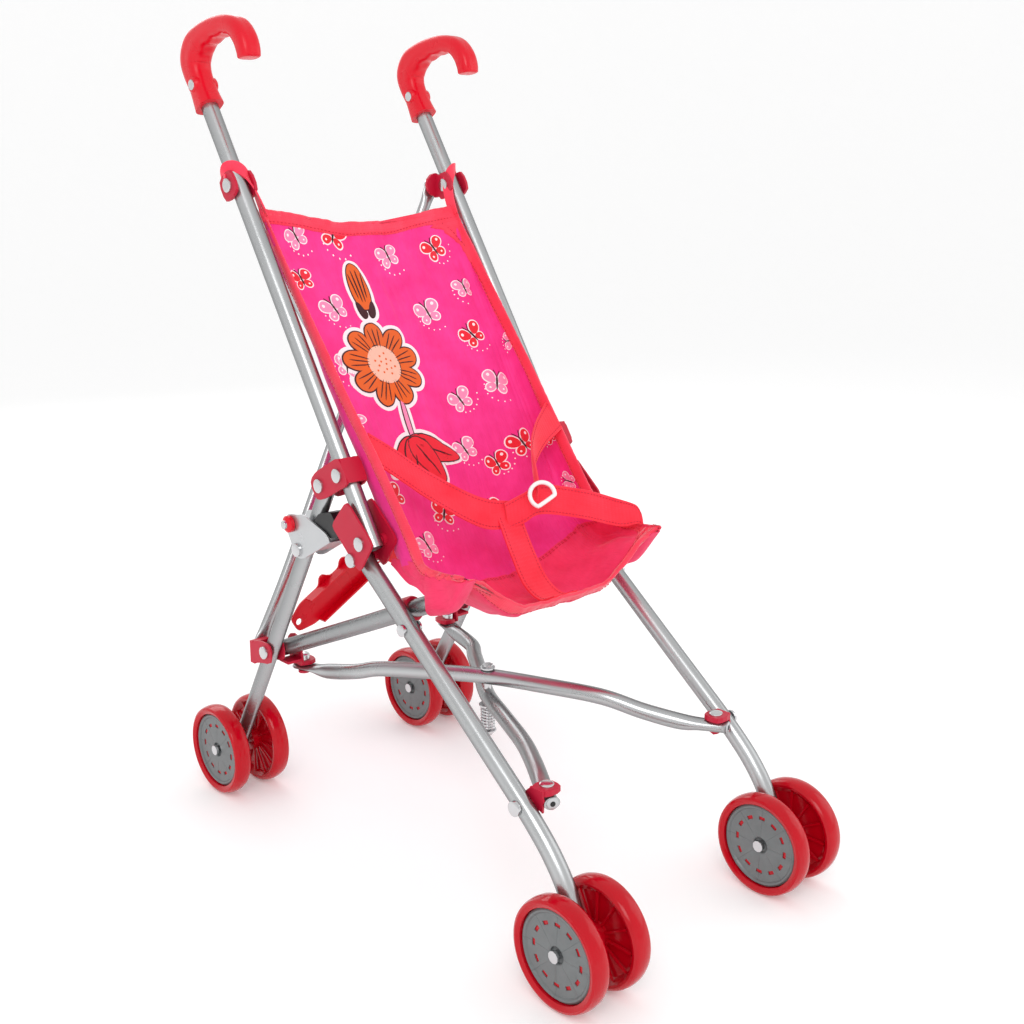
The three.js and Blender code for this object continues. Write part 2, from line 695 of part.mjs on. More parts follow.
function lockLinks() {
  const outerHole = (side) => pinY(side * LINK_X, LINK_PIVOT[1], bore(PIN_R), BRACE_Y - 9, BRACE_Y + 9);
  const apexHole = pinY(0, APEX_Z, bore(PIN_R), BRACE_Y - 9, BRACE_Y + 9);
  const apexPin = join(
    pinY(0, APEX_Z, PIN_R, BRACE_Y - 1, BRACE_Y + 2.6),
    pinY(0, APEX_Z, HEAD_R, BRACE_Y - 2.8, BRACE_Y - 1),
    pinY(0, APEX_Z, HEAD_R, BRACE_Y + 2.2, BRACE_Y + 3.6),
  );
  const left = join(lockLink(-1, BRACE_Y, BRACE_Y - 9, [outerHole(-1)]), apexPin);
  const right = lockLink(1, BRACE_Y + 1.9, BRACE_Y + 8, [outerHole(1), apexHole]);
  return [left, right];
}

// Cross-sections of the seat from the top hem, down the back and along the seat to the front hem.
// Each is [free edge, corner against the frame, quarter point, middle], the right half only.
const SEAT_ROWS = [
  [[85.4, 138.8, 444], [85, 139.6, 443], [45, 139, 437], [0, 138.5, 433]],
  [[85.2, 118, 416], [84.6, 123, 413], [45, 124.5, 411], [0, 125, 410]],
  [[85, 84, 374], [84.2, 94, 369], [45, 97, 367], [0, 98, 366]],
  [[84.8, 51, 333], [83.8, 66, 326], [45, 71, 323], [0, 73, 322]],
  [[83, 17, 290], [82.4, 37, 281], [45, 45, 277], [0, 48, 276]],
  [[82.6, -14, 250], [81.6, 12, 244], [45, 21, 236], [0, 25, 234]],
  [[84.6, -30, 231], [82, -3, 224], [45, 3, 207], [0, 4, 202]],
  [[88.6, -42, 228], [86, -22, 213], [45, -16, 195], [0, -16, 190]],
  [[89.6, -56, 228], [87.6, -46, 220], [45, -42, 193], [0, -42, 188]],
  [[90, -68, 229], [88.6, -64, 226], [45, -63, 196], [0, -62, 191]],
  [[90, -78, 229.6], [89.4, -76.5, 228], [45, -76.5, 203], [0, -76.5, 199]],
];

function seatSling() {
  const grid = SEAT_ROWS.map(([edge, corner, quarter, middle]) => {
    const between = quarter.slice(1).map((v, i) => 0.22 * v + 0.78 * corner[i + 1]);
    const half = [edge, corner, [73, ...between], quarter, [22, ...middle.slice(1)]];
    const mirrored = half.map(([x, y, z]) => [-x, y, z]);
    return [...mirrored, middle, ...half.reverse()];
  });
  return sheet(grid, CLOTH);
}

// Straps as pairs of edge points, upper edge first.
const STRAPS = [
  [[[-81.5, 28, 303], [-81.5, 16, 283]], [[-50, 8, 277], [-52, -4, 257]], [[-22, -14, 258], [-24, -20, 238]],
    [[3, -22, 252], [0, -24, 234]]],
  [[[-6, -22.4, 252], [-4, -24.4, 234]], [[22, -30, 262], [20, -32, 242]], [[48, -44, 257], [46, -46, 237]],
    [[70, -54, 249], [72, -56, 229]], [[84.2, -57, 243], [84.2, -62, 230]]],
  [[[-11, -20.6, 243], [9, -21.4, 243]], [[-11, -34, 220], [10, -34, 220]], [[-11, -47, 202], [11, -47, 202]],
    [[-10, -61, 197], [12, -61, 197]], [[-9, -73, 203], [13, -73, 203]]],
];

function harness() {
  return join(...STRAPS.map((strap) => sheet(strap, CLOTH)));
}

function harnessRing() {
  const ring = new THREE.TorusGeometry(7.2, 1.3, 6, 20);
  ring.rotateX(Math.PI / 2.6);
  ring.rotateZ(0.5);
  ring.translate(30, -48, 243);
  return solid(ring);
}

// ---------------------------------------------------------------- assembly
const stroller = new THREE.Group();
stroller.name = "doll_umbrella_stroller";
stroller.add(sideFrame("left"), sideFrame("right"));

function addMiddle(name, body, finish) {
  stroller.add(piece(name, body, finish));
}
addMiddle("back_x_tube_a", cut(backTube(-1, 158.8), pinY(-TOP_X, 459, bore(2, 12), 150, 175, 12)), paint());
addMiddle("back_x_tube_b", backTube(1, 164.6), paint());
addMiddle(
  "back_x_pivot",
  join(
    pinY(0, BACK_CROSS_Z, 2, 155, 169, 12),
    pinY(0, BACK_CROSS_Z, 4.4, 154.2, 156, 12),
    pinY(0, BACK_CROSS_Z, 4.4, 167.4, 169.2, 12),
  ),
  chrome(),
);
addMiddle(
  "bottom_x_tube_c",
  cut(
    baseTube(-1, 119.2),
    pinZ(-REAR_X, REAR_BOLT[1], bore(PIN_R), 95, 125),
    pinZ(0, CROSS_Y, bore(PIN_R), 90, 130),
  ),
  paint(),
);
addMiddle("bottom_x_tube_d", cut(baseTube(1, 104.6), pinZ(0, CROSS_Y, bore(PIN_R), 90, 130)), paint());
addMiddle(
  "bottom_x_bolt",
  join(
    pinZ(0, CROSS_Y, PIN_R, 76, 127),
    pinZ(0, CROSS_Y, 5.5, 125.4, 126.4),
    pinZ(0, CROSS_Y, 4, 126, 128.4, 6),
    pinZ(0, CROSS_Y, 6.5, 97.1, 98.1),
    pinZ(0, CROSS_Y, 6.5, 77.6, 78.8),
    pinZ(0, CROSS_Y, 4.2, 75, 78, 6),
  ),
  chrome(),
);
addMiddle("bottom_x_spring", bottomSpring(), chrome());
const [leftLink, rightLink] = lockLinks();
addMiddle("lock_link_left", leftLink, redSatin());
addMiddle("lock_link_right", rightLink, redSatin());
addMiddle("seat_sling", seatSling(), pinkCloth());
addMiddle("harness", harness(), redWebbing());
addMiddle("harness_ring", harnessRing(), whitePlastic());

export default stroller;
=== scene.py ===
"""Looks of a doll's umbrella stroller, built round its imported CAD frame.

Shapes are in mm in the row frame, and place() turns them into metres. Material depths, the camera, the
lights and the floor are in metres.
"""

import json
import math

import bmesh
import bpy
import numpy as np
from mathutils import Matrix, Vector


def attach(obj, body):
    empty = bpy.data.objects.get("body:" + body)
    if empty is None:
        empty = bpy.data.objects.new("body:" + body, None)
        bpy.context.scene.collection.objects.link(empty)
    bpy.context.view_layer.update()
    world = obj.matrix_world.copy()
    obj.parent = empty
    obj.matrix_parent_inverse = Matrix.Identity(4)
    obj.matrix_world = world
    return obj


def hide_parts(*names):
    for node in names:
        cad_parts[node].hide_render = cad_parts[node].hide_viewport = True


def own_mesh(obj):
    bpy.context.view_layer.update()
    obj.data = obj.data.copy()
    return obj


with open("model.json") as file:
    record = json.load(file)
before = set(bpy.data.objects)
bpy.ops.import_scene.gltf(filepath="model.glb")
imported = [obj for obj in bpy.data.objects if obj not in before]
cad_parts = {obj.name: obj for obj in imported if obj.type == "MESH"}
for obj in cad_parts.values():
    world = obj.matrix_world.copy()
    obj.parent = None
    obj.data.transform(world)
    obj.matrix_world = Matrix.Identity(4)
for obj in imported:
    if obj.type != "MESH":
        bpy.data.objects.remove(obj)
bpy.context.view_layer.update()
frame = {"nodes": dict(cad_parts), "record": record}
NODES = frame["nodes"]

# ---------------------------------------------------------------- places, in mm in the row frame
# LEG_X is how far each side's plane lies from the middle. Points of two numbers are (y, z) in that plane.
# A bolt is (distance outboard of the plane, y), and RAIL_S is a distance outboard too.
LEG_X = 95.0
TUBE_R = 6.0
HANDLE_LOW = (4.5, 231.5)
HANDLE_DIR = (0.5433, 0.8395)
GRIP_MOUTH = (186.3, 514.0)
LEG_HINGE = (7.0, 236.0)
PLATE_RIVET = (17.0, 223.0)
CLIP_RIVET = (33.0, 276.5)
REAR_HINGE = (54.0, 266.0)
LEVER_PIVOT = (83.0, 215.6)
LEVER_KNOB = (90.0, 233.0)
RAIL_PIVOT = (134.8, 125.5)
FRONT_BRACKET = (-137.0, 103.0)
TOP_BRACKET = (151.0, 459.0)
FRONT_AXLE = (-187.3, 34.8)
REAR_AXLE = (187.3, 34.8)
RAIL_S = -12.5
REAR_BOLT = (-24.5, 130.6)
FRONT_BOLT = (-15.2, -141.5)
TUBE_WALL = 0.9
CLOTH_THICKNESS = 0.7
WEBBING_THICKNESS = 1.1
SLOTS = 12
SLOT_STATION = 5  # the slots run from this station of the disc to the next
SIDES = {"left": -1, "right": 1}


def metres(points):
    return np.asarray(points, float) * 0.001


# ---------------------------------------------------------------- materials
def arithmetic(nodes, links, operation, first, second=None):
    node = nodes.new("ShaderNodeMath")
    node.operation = operation
    for socket, value in enumerate((first, second)):
        if isinstance(value, float):
            node.inputs[socket].default_value = value
        elif value is not None:
            links.new(value, node.inputs[socket])
    return node.outputs[0]


def noise(nodes, links, coords, scale, detail=3.0):
    node = nodes.new("ShaderNodeTexNoise")
    node.inputs["Scale"].default_value = scale
    node.inputs["Detail"].default_value = detail
    links.new(coords, node.inputs["Vector"])
    return node.outputs["Fac"]


def ramp(nodes, links, factor, low, high, ends=(0.3, 0.7)):
    node = nodes.new("ShaderNodeMapRange")
    node.inputs["From Min"].default_value = ends[0]
    node.inputs["From Max"].default_value = ends[1]
    node.inputs["To Min"].default_value = low
    node.inputs["To Max"].default_value = high
    links.new(factor, node.inputs["Value"])
    return node.outputs["Result"]


def mix_colour(nodes, links, factor, first, second):
    node = nodes.new("ShaderNodeMix")
    node.data_type = "RGBA"
    links.new(factor, node.inputs["Factor"])
    for socket, value in ((6, first), (7, second)):
        if isinstance(value, tuple):
            node.inputs[socket].default_value = (*value, 1)
        else:
            links.new(value, node.inputs[socket])
    return node.outputs[2]


def bump(nodes, links, height, distance, strength, normal=None):
    node = nodes.new("ShaderNodeBump")
    node.inputs["Distance"].default_value = distance
    node.inputs["Strength"].default_value = strength
    links.new(height, node.inputs["Height"])
    if normal is not None:
        links.new(normal, node.inputs["Normal"])
    return node.outputs["Normal"]


def new_material(name):
    made = bpy.data.materials.new(name)
    made.use_nodes = True
    nodes, links = made.node_tree.nodes, made.node_tree.links
    return made, nodes, links, nodes["Principled BSDF"]


def hard(name, colour, rough, metal, vary, grain, height, **sockets):
    """Paint, metal or plastic: patchy colour and roughness, and a fine moulded or sprayed grain."""
    made, nodes, links, shader = new_material(name)
    coords = nodes.new("ShaderNodeTexCoord").outputs["Object"]
    broad = noise(nodes, links, coords, 38.0)
    fine = noise(nodes, links, coords, grain, 2.0)
    darker = tuple(c * (1 - vary) for c in colour)
    lighter = tuple(min(1.0, c * (1 + vary)) for c in colour)
    links.new(mix_colour(nodes, links, broad, darker, lighter), shader.inputs["Base Color"])
    links.new(ramp(nodes, links, broad, rough * 0.85, rough * 1.2), shader.inputs["Roughness"])
    links.new(bump(nodes, links, fine, height, 0.5), shader.inputs["Normal"])
    shader.inputs["Metallic"].default_value = metal
    for socket, value in sockets.items():
        shader.inputs[socket.replace("_", " ")].default_value = value
    return made


def woven(name, colour, dark, thread, rib, crease, sheen, depth):
    """Cloth: a fine over-and-under weave laid in UV (units of 10 mm), with soft creases, painted shade in the
    gaps between threads, and patchy painted fold shade.
    """
    made, nodes, links, shader = new_material(name)
    uv = nodes.new("ShaderNodeTexCoord").outputs["UV"]
    space = nodes.new("ShaderNodeTexCoord").outputs["Object"]
    waves = []
    for direction, share in (("X", 1.0), ("Y", rib)):
        wave = nodes.new("ShaderNodeTexWave")
        wave.wave_type = "BANDS"
        wave.bands_direction = direction
        wave.inputs["Scale"].default_value = 3.14 / thread * share
        wave.inputs["Distortion"].default_value = 0.4
        links.new(uv, wave.inputs["Vector"])
        waves.append(wave.outputs["Fac"])
    weave = arithmetic(nodes, links, "MULTIPLY", waves[0], waves[1])
    patchy = noise(nodes, links, space, 55.0, 5.0)
    folds = noise(nodes, links, space, 95.0, 4.0)
    stretch = nodes.new("ShaderNodeMapping")
    stretch.inputs["Scale"].default_value = (1.0, 0.12, 1.0)
    links.new(uv, stretch.inputs["Vector"])
    slubs = noise(nodes, links, stretch.outputs["Vector"], 9.0, 4.0)
    # Painted shade: broad noise patches mix in the darker colour to stand in for the shading of folds.
    fold_shaded = mix_colour(nodes, links, ramp(nodes, links, patchy, 0.0, 0.6), colour, dark)
    streaked = mix_colour(nodes, links, ramp(nodes, links, slubs, 0.0, 0.45, (0.5, 0.75)), fold_shaded, dark)
    # Painted shade: the gaps between the threads are darkened towards the darker colour.
    gap_shade = ramp(nodes, links, weave, 0.34, 0.0, (0, 1))
    threaded = mix_colour(nodes, links, gap_shade, streaked, dark)
    links.new(threaded, shader.inputs["Base Color"])
    links.new(ramp(nodes, links, patchy, 0.68, 0.86), shader.inputs["Roughness"])
    creased = bump(nodes, links, folds, crease, 0.6)
    links.new(bump(nodes, links, weave, depth, 0.7, creased), shader.inputs["Normal"])
    shader.inputs["Sheen Weight"].default_value = sheen
    shader.inputs["Sheen Roughness"].default_value = 0.4
    return made


def painted_tube():
    """Silver paint over steel: a flake grain, and painted shade that darkens the tube where it turns away
    from the eye.
    """
    made = hard("silver_paint", (0.50, 0.51, 0.515), 0.27, 0.92, 0.05, 1500.0, 0.00001)
    nodes, links = made.node_tree.nodes, made.node_tree.links
    shader = nodes["Principled BSDF"]
    flake = shader.inputs["Base Color"].links[0].from_socket
    # Painted shade: the facing ramp mixes the tube's colour towards a dark grey at the sides that turn away
    # from the eye.
    facing = nodes.new("ShaderNodeLayerWeight")
    facing.inputs["Blend"].default_value = 0.45
    edge = ramp(nodes, links, facing.outputs["Facing"], 0.0, 1.0, (0.15, 0.85))
    links.new(mix_colour(nodes, links, edge, flake, (0.10, 0.105, 0.108)), shader.inputs["Base Color"])
    return made


def disc_material():
    """Grey moulded hub disc: a few thin lines fan out from the axle, which is each disc's own X axis."""
    made, nodes, links, shader = new_material("hub_grey")
    space = nodes.new("ShaderNodeTexCoord").outputs["Object"]
    turn = nodes.new("ShaderNodeMapping")
    turn.inputs["Rotation"].default_value = (0, math.pi / 2, 0)
    links.new(space, turn.inputs["Vector"])
    fan = nodes.new("ShaderNodeTexGradient")
    fan.gradient_type = "RADIAL"
    links.new(turn.outputs["Vector"], fan.inputs["Vector"])
    sectors = arithmetic(nodes, links, "MULTIPLY", fan.outputs["Fac"], 8.0)
    line = ramp(nodes, links, arithmetic(nodes, links, "FRACT", sectors), 1.0, 0.0, (0.0, 0.045))
    patchy = noise(nodes, links, space, 120.0)
    grey = mix_colour(nodes, links, patchy, (0.125, 0.135, 0.137), (0.20, 0.212, 0.215))
    lined = arithmetic(nodes, links, "MULTIPLY", line, 0.45)
    colour = mix_colour(nodes, links, lined, grey, (0.08, 0.085, 0.088))
    links.new(colour, shader.inputs["Base Color"])
    links.new(ramp(nodes, links, patchy, 0.3, 0.45), shader.inputs["Roughness"])
    links.new(bump(nodes, links, line, 0.0003, 0.6), shader.inputs["Normal"])
    shader.inputs["Metallic"].default_value = 0.2
    return made


# Hard finishes as (colour, roughness, metal, variation, grain scale, grain depth, extra sockets).
HARD = {
    "red_gloss": ((0.70, 0.0015, 0.016), 0.27, 0.0, 0.05, 500.0, 0.00002, {"Specular_IOR_Level": 0.35}),
    "red_plastic": ((0.52, 0.006, 0.035), 0.42, 0.0, 0.08, 800.0, 0.00003, {"Specular_IOR_Level": 0.35}),
    "tyre_red": ((0.50, 0.0005, 0.009), 0.14, 0.0, 0.10, 260.0, 0.00001, {"Specular_IOR_Level": 0.3}),
    "steel": ((0.62, 0.62, 0.63), 0.14, 1.0, 0.05, 700.0, 0.00001, {}),
    "sheet_steel": ((0.56, 0.57, 0.58), 0.3, 0.9, 0.07, 1100.0, 0.00002, {}),
    "black_plastic": ((0.006, 0.006, 0.007), 0.32, 0.0, 0.3, 900.0, 0.00003, {}),
    "white_plastic": ((0.86, 0.85, 0.84), 0.25, 0.0, 0.04, 600.0, 0.00002, {"Coat_Weight": 0.3}),
    "thread": ((0.62, 0.012, 0.05), 0.7, 0.0, 0.2, 3000.0, 0.00004, {}),
}
# Printing inks as (colour, variation).
INKS = {
    "print_white": ((0.93, 0.80, 0.83), 0.05),
    "print_pink": ((0.95, 0.25, 0.45), 0.08),
    "print_red": ((0.80, 0.01, 0.03), 0.08),
    "print_dark": ((0.05, 0.005, 0.01), 0.1),
    "print_peach": ((0.88, 0.47, 0.36), 0.05),
    "print_orange": ((0.75, 0.11, 0.01), 0.1),
}
# Cloths as (colour, darker colour, thread width, rib, crease depth, sheen, weave depth); the darker colour
# serves the painted fold shade, the painted shade between threads and the slub streaks.
CLOTHS = {
    "pink_cloth": ((1.0, 0.035, 0.33), (0.78, 0.01, 0.17), 0.8, 1.0, 0.0009, 0.15, 0.00008),
    "plain_cloth": ((1.0, 0.04, 0.16), (0.74, 0.012, 0.075), 0.8, 1.0, 0.0009, 0.15, 0.00008),
    "binding": ((1.0, 0.055, 0.12), (0.88, 0.022, 0.06), 1.1, 0.7, 0.0005, 0.35, 0.00015),
    "red_webbing": ((1.0, 0.03, 0.07), (0.82, 0.012, 0.035), 1.3, 0.45, 0.0003, 0.25, 0.0002),
}
MATERIALS = {"silver_paint": painted_tube(), "hub_grey": disc_material()}
for finish, (*look, extra) in HARD.items():
    MATERIALS[finish] = hard(finish, *look, **extra)
for finish, (colour, vary) in INKS.items():
    MATERIALS[finish] = hard(finish, colour, 0.75, 0.0, vary, 1800.0, 0.00004)
for finish, look in CLOTHS.items():
    MATERIALS[finish] = woven(finish, *look)


# ---------------------------------------------------------------- mesh helpers
def place(name, points, faces, finish, body, smooth=True, uv=None):
    """A mesh from points in mm, riding on a body."""
    mesh = bpy.data.meshes.new(name)
    mesh.from_pydata([tuple(p) for p in metres(points)], [], [tuple(f) for f in faces])
    mesh.materials.append(MATERIALS[finish])
    if smooth:
        mesh.polygons.foreach_set("use_smooth", [True] * len(mesh.polygons))
    if uv is not None:
        layer = mesh.uv_layers.new(name="UVMap")
        flat = [c for loop in mesh.loops for c in uv[loop.vertex_index]]
        layer.data.foreach_set("uv", flat)
    mesh.update()
    made = bpy.data.objects.new(name, mesh)
    bpy.context.scene.collection.objects.link(made)
    if body:
        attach(made, body)
    finish if finish in SLOT_NAMES else NEAREST_SLOT.get(finish, "pink_cloth")
    return made


SLOT_NAMES = {m["slot"] for m in frame["record"]["materials"]}
NEAREST_SLOT = {"binding": "red_webbing", "thread": "red_webbing"}


def smoothed(points, count):
    """Catmull-Rom through the points (any number of columns), evenly spaced in the curve's parameter."""
    p = np.asarray(points, float)
    p = np.vstack([2 * p[0] - p[1], p, 2 * p[-1] - p[-2]])
    t = np.linspace(0, len(p) - 3 - 1e-9, count)
    i = t.astype(int)
    f = (t - i)[:, None]
    a, b, c, d = p[i], p[i + 1], p[i + 2], p[i + 3]
    return 0.5 * (2 * b + (c - a) * f + (2 * a - 5 * b + 4 * c - d) * f**2 + (3 * b - a - 3 * c + d) * f**3)


def tube_points(path, across, sides, wall=0.0):
    """Rings round a path of rows [x, y, z, wide, deep]; across is the direction of wide."""
    path = np.asarray(path, float)
    centre = path[:, :3]
    along = np.gradient(centre, axis=0)
    along /= np.linalg.norm(along, axis=1)[:, None]
    u = np.asarray(across, float) - along * (along @ np.asarray(across, float))[:, None]
    u /= np.linalg.norm(u, axis=1)[:, None]
    v = np.cross(along, u)
    angle = np.linspace(0, 2 * math.pi, sides, endpoint=False)
    wide = (path[:, 3] - wall)[:, None, None]
    deep = (path[:, 4] - wall)[:, None, None]
    return (
        centre[:, None]
        + u[:, None] * wide * np.cos(angle)[None, :, None]
        + v[:, None] * deep * np.sin(angle)[None, :, None]
    )


def ring_faces(count, sides, loop):
    faces = []
    for i in range(count if loop else count - 1):
        a, b = i * sides, ((i + 1) % count) * sides
        faces += [(a + j, a + (j + 1) % sides, b + (j + 1) % sides, b + j) for j in range(sides)]
    if not loop:
        faces.append(tuple(range(sides))[::-1])
        faces.append(tuple((count - 1) * sides + j for j in range(sides)))
    return faces


def tube(name, path, across, finish, body, sides=28, wall=0.0):
    rings = tube_points(path, across, sides)
    if wall:
        rings = np.vstack([rings, tube_points(path, across, sides, wall)[::-1]])
    made = place(name, rings.reshape(-1, 3), ring_faces(len(rings), sides, bool(wall)), finish, body)
    sharpen(made)
    return made


def face_outwards(made):
    shape = bmesh.new()
    shape.from_mesh(made.data)
    bmesh.ops.recalc_face_normals(shape, faces=shape.faces)
    shape.to_mesh(made.data)
    shape.free()


def sharpen(made, angle=40):
    """Keeps edges crisp where the surface turns by more than the angle."""
    mesh = made.data
    shape = bmesh.new()
    shape.from_mesh(mesh)
    bmesh.ops.recalc_face_normals(shape, faces=shape.faces)
    for edge in shape.edges:
        if len(edge.link_faces) == 2 and edge.calc_face_angle() > math.radians(angle):
            edge.smooth = False
    shape.to_mesh(mesh)
    shape.free()


def side_path(points, s, wide=TUBE_R, deep=TUBE_R):
    return [[s, y, z, wide, deep] for y, z in points]


def along(start, distance, direction=HANDLE_DIR):
    return (start[0] + direction[0] * distance, start[1] + direction[1] * distance)


def lathe(name, profile, centre, axis, finish, body, segments=48):
    """A closed profile of [radius, height] turned round an axis through centre."""
    axis = Vector(axis).normalized()
    turn = Vector((0, 0, 1)).rotation_difference(axis).to_matrix()
    points = []
    for k in range(segments):
        a = 2 * math.pi * k / segments
        for r, h in profile:
            p = turn @ Vector((r * math.cos(a), r * math.sin(a), h))
            points.append(tuple(np.array(centre) + np.array(p)))
    n = len(profile)
    faces = []
    for k in range(segments):
        m = (k + 1) % segments
        faces += [(k * n + i, m * n + i, m * n + (i + 1) % n, k * n + (i + 1) % n) for i in range(n)]
    made = place(name, points, faces, finish, body)
    shape = bmesh.new()
    shape.from_mesh(made.data)
    bmesh.ops.remove_doubles(shape, verts=shape.verts, dist=1e-6)
    shape.to_mesh(made.data)
    shape.free()
    sharpen(made, 35)
    return made


def rivet(name, centre, axis, radius, body, height=2.2, finish="steel"):
    """A low domed rivet head with a straight rim."""
    dome = ((0.0, 1.0), (0.3, 0.99), (0.55, 0.965), (0.76, 0.91), (0.9, 0.83), (0.98, 0.72), (1.0, 0.6))
    profile = [(radius * r, height * h) for r, h in dome] + [(radius, -0.35), (0.0, -0.35)]
    return lathe(name, profile, centre, axis, finish, body, 28)


def polish_node(name, width=0.0005):
    """Rounds the edges of a CAD node for show; its own mesh stays as packed."""
    node = NODES[name]
    bevel = node.modifiers.new("edge", "BEVEL")
    bevel.width = width
    bevel.segments = 2
    bevel.limit_method = "ANGLE"
    bevel.angle_limit = math.radians(35)
    bevel.harden_normals = False


# ---------------------------------------------------------------- frame tubes
def side_tubes(side, sign):
    x = sign * LEG_X
    frame_body = f"{side}_frame"

    def add(kind, path, body):
        made = tube(f"{side}_{kind}_skin", path, (1, 0, 0), "silver_paint", body, wall=TUBE_WALL)
        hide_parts(f"{side}_{kind}")
        return made

    add("handle_tube", side_path([HANDLE_LOW, along(GRIP_MOUTH, 13)], x), frame_body)
    straight = [(31.5, 234.4), (10, 217.6), (-40, 178.7), (-90, 139.7), (-132, 107.2)]
    bend = [(-148, 94), (-161, 81.5), (-172, 67.5), (-180.5, 52), (-187.3, 34.8), (-189.4, 27)]
    leg = smoothed([[x, y, z, TUBE_R, TUBE_R] for y, z in straight + bend], 60)
    add("front_leg", leg, f"{side}_front_leg")
    down = np.array(REAR_AXLE) - np.array(REAR_HINGE)
    down /= np.linalg.norm(down)
    ends = [np.array(REAR_HINGE) + down * d for d in (-7, 259, 262, 266, 274)]
    oval = [[x, y, z, 4.5, deep] for (y, z), deep in zip(ends, (6.5, 6.5, 6.4, 6.2, 6.0))]
    rear = tube(f"{side}_rear_leg_tube", oval, (1, 0, 0), "silver_paint", f"{side}_rear_leg", wall=TUBE_WALL)
    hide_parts(f"{side}_rear_leg")
    rail = smoothed([[sign * (LEG_X + RAIL_S), y, z, TUBE_R, TUBE_R] for y, z in
                     ((141.8, 122.4), (97, 142), (29, 172), (-30, 198.6), (-62, 211.2))], 30)
    add("seat_rail", rail, f"{side}_seat_rail")


def collar(side, sign):
    """The red ring on the seat rail beside the front leg."""
    start, end = np.array((-6.0, 188.2)), np.array((-20.0, 194.4))
    steps = ((0, 6.1), (0, 8.0), (0.12, 8.6), (0.88, 8.6), (1, 8.0), (1, 6.1))
    path = []
    for i, (t, r) in enumerate(steps):
        y, z = start + (end - start) * t
        path.append([sign * (LEG_X + RAIL_S), y + 0.01 * i, z, r * 0.86 if r > 6.5 else r, r])
    tube(f"{side}_rail_collar", path, (1, 0, 0), "red_plastic", f"{side}_seat_rail", sides=32)


def grip(side, sign):
    """The hooked hand grip: squarish section, finger scallops inside the hook, and a raised rivet boss."""
    line = np.array([
        (184.6, 511.4, 9.5, 9.0), (188.5, 517.5, 8.6, 8.6), (193, 525, 8.2, 8.2), (198.5, 534, 9.4, 8.4),
        (200.5, 543, 11.2, 8.7), (196, 551.5, 11.0, 8.8), (185, 558, 8.2, 8.8), (170, 562, 6.9, 8.6),
        (155, 563.2, 6.2, 8.4), (143.5, 560.6, 6.4, 8.2), (135.8, 554, 6.6, 8.0), (132, 547, 6.5, 7.8),
        (131.0, 541.6, 6.2, 7.4),
    ])
    line = smoothed(line, 90)
    rounding = ((0.5, 0.3), (0.9, 0.9), (1.1, 1.8))
    tip = [line[-1] + np.array([-0.17 * d, -0.98 * d, -r, -r]) for d, r in rounding]
    line = np.vstack([line, tip])
    at = np.linspace(0, 1, len(line))
    inside = np.clip((at - 0.42) / 0.06, 0, 1) * np.clip((0.74 - at) / 0.06, 0, 1)
    scallop = 0.75 * inside * np.cos(at * 2 * math.pi / 0.075)
    path = np.column_stack([np.full(len(line), sign * LEG_X), line[:, 0], line[:, 1], line[:, 3], line[:, 2]])
    rings = tube_points(path, (1, 0, 0), 40)
    centre = path[:, None, :3]
    offset = rings - centre
    reach = np.linalg.norm(offset, axis=2, keepdims=True)
    squared = np.abs(offset[:, :, 0:1] / reach)
    rings = centre + offset * (1 + 0.13 * (4 * squared**2 * (1 - squared**2)))
    inner = np.array([sign * LEG_X, 172.0, 538.0])
    inward = inner - centre
    inward /= np.linalg.norm(inward, axis=2, keepdims=True)
    facing = np.clip(np.sum(offset / reach * inward, axis=2, keepdims=True), 0, 1)
    rings = rings + inward * facing**2 * scallop[:, None, None]
    made = place(f"{side}_grip_skin", rings.reshape(-1, 3), ring_faces(len(rings), 40, False), "red_gloss",
                 f"{side}_frame")
    sharpen(made, 50)
    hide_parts(f"{side}_grip")
    for face in (-1, 1):
        boss = [(0, 2.2), (4.6, 2.2), (5.6, 1.2), (6.2, -1.5), (0, -1.5)]
        lathe(f"{side}_grip_boss_{'in' if face != sign else 'out'}", boss,
              (sign * LEG_X + face * 7.0, 192, 526), (face, 0, 0), "red_gloss", f"{side}_frame", 32)
        rivet(f"{side}_grip_rivet_{'in' if face != sign else 'out'}", (sign * LEG_X + face * 9.0, 192, 526),
              (face, 0, 0), 3.6, f"{side}_frame", 1.0)


# ---------------------------------------------------------------- wheels
def wheel_mesh():
    """Tyre with its spoke-side back, axle along +X from the leg plane, in metres round its own centre."""
    rounded_face = [(28.7, 22.4), (30.2, 23.4), (31.8, 23.8), (33.4, 23.0), (34.4, 20.6), (34.8, 17.0),
                    (34.4, 13.4), (33.4, 11.2), (31.8, 10.2), (30.2, 10.4), (28.6, 12.2)]
    front = [(3.1, 7.5), (3.1, 17.7), (17.2, 17.7), (17.2, 19.3), (21.3, 19.3), (21.3, 17.7), (28.5, 17.7)]
    profile = front + rounded_face + [(26.5, 14.2), (9.0, 13.6), (8.0, 12.8), (8.0, 7.5)]
    made = lathe("wheel_shape", profile, (0, 0, 0), (1, 0, 0), "tyre_red", None, 96)
    ribs = []
    for k in range(12):
        a = 2 * math.pi * k / 12
        radial, tangent = np.array([0, math.cos(a), math.sin(a)]), np.array([0, -math.sin(a), math.cos(a)])
        corners = []
        for r in (8.6, 28.0):
            for w, h in ((-0.8, 13.0), (0.8, 13.0), (0.6, 11.6), (-0.6, 11.6)):
                corners.append(radial * r + tangent * w + np.array([h, 0, 0]))
        ribs.append(corners)
    shape = bmesh.new()
    shape.from_mesh(made.data)
    for corners in ribs:
        v = [shape.verts.new(tuple(c * 0.001)) for c in corners]
        for f in ((0, 1, 5, 4), (1, 2, 6, 5), (2, 3, 7, 6), (3, 0, 4, 7), (3, 2, 1, 0), (4, 5, 6, 7)):
            shape.faces.new([v[i] for i in f])
    bmesh.ops.recalc_face_normals(shape, faces=shape.faces)
    shape.to_mesh(made.data)
    shape.free()
    return made


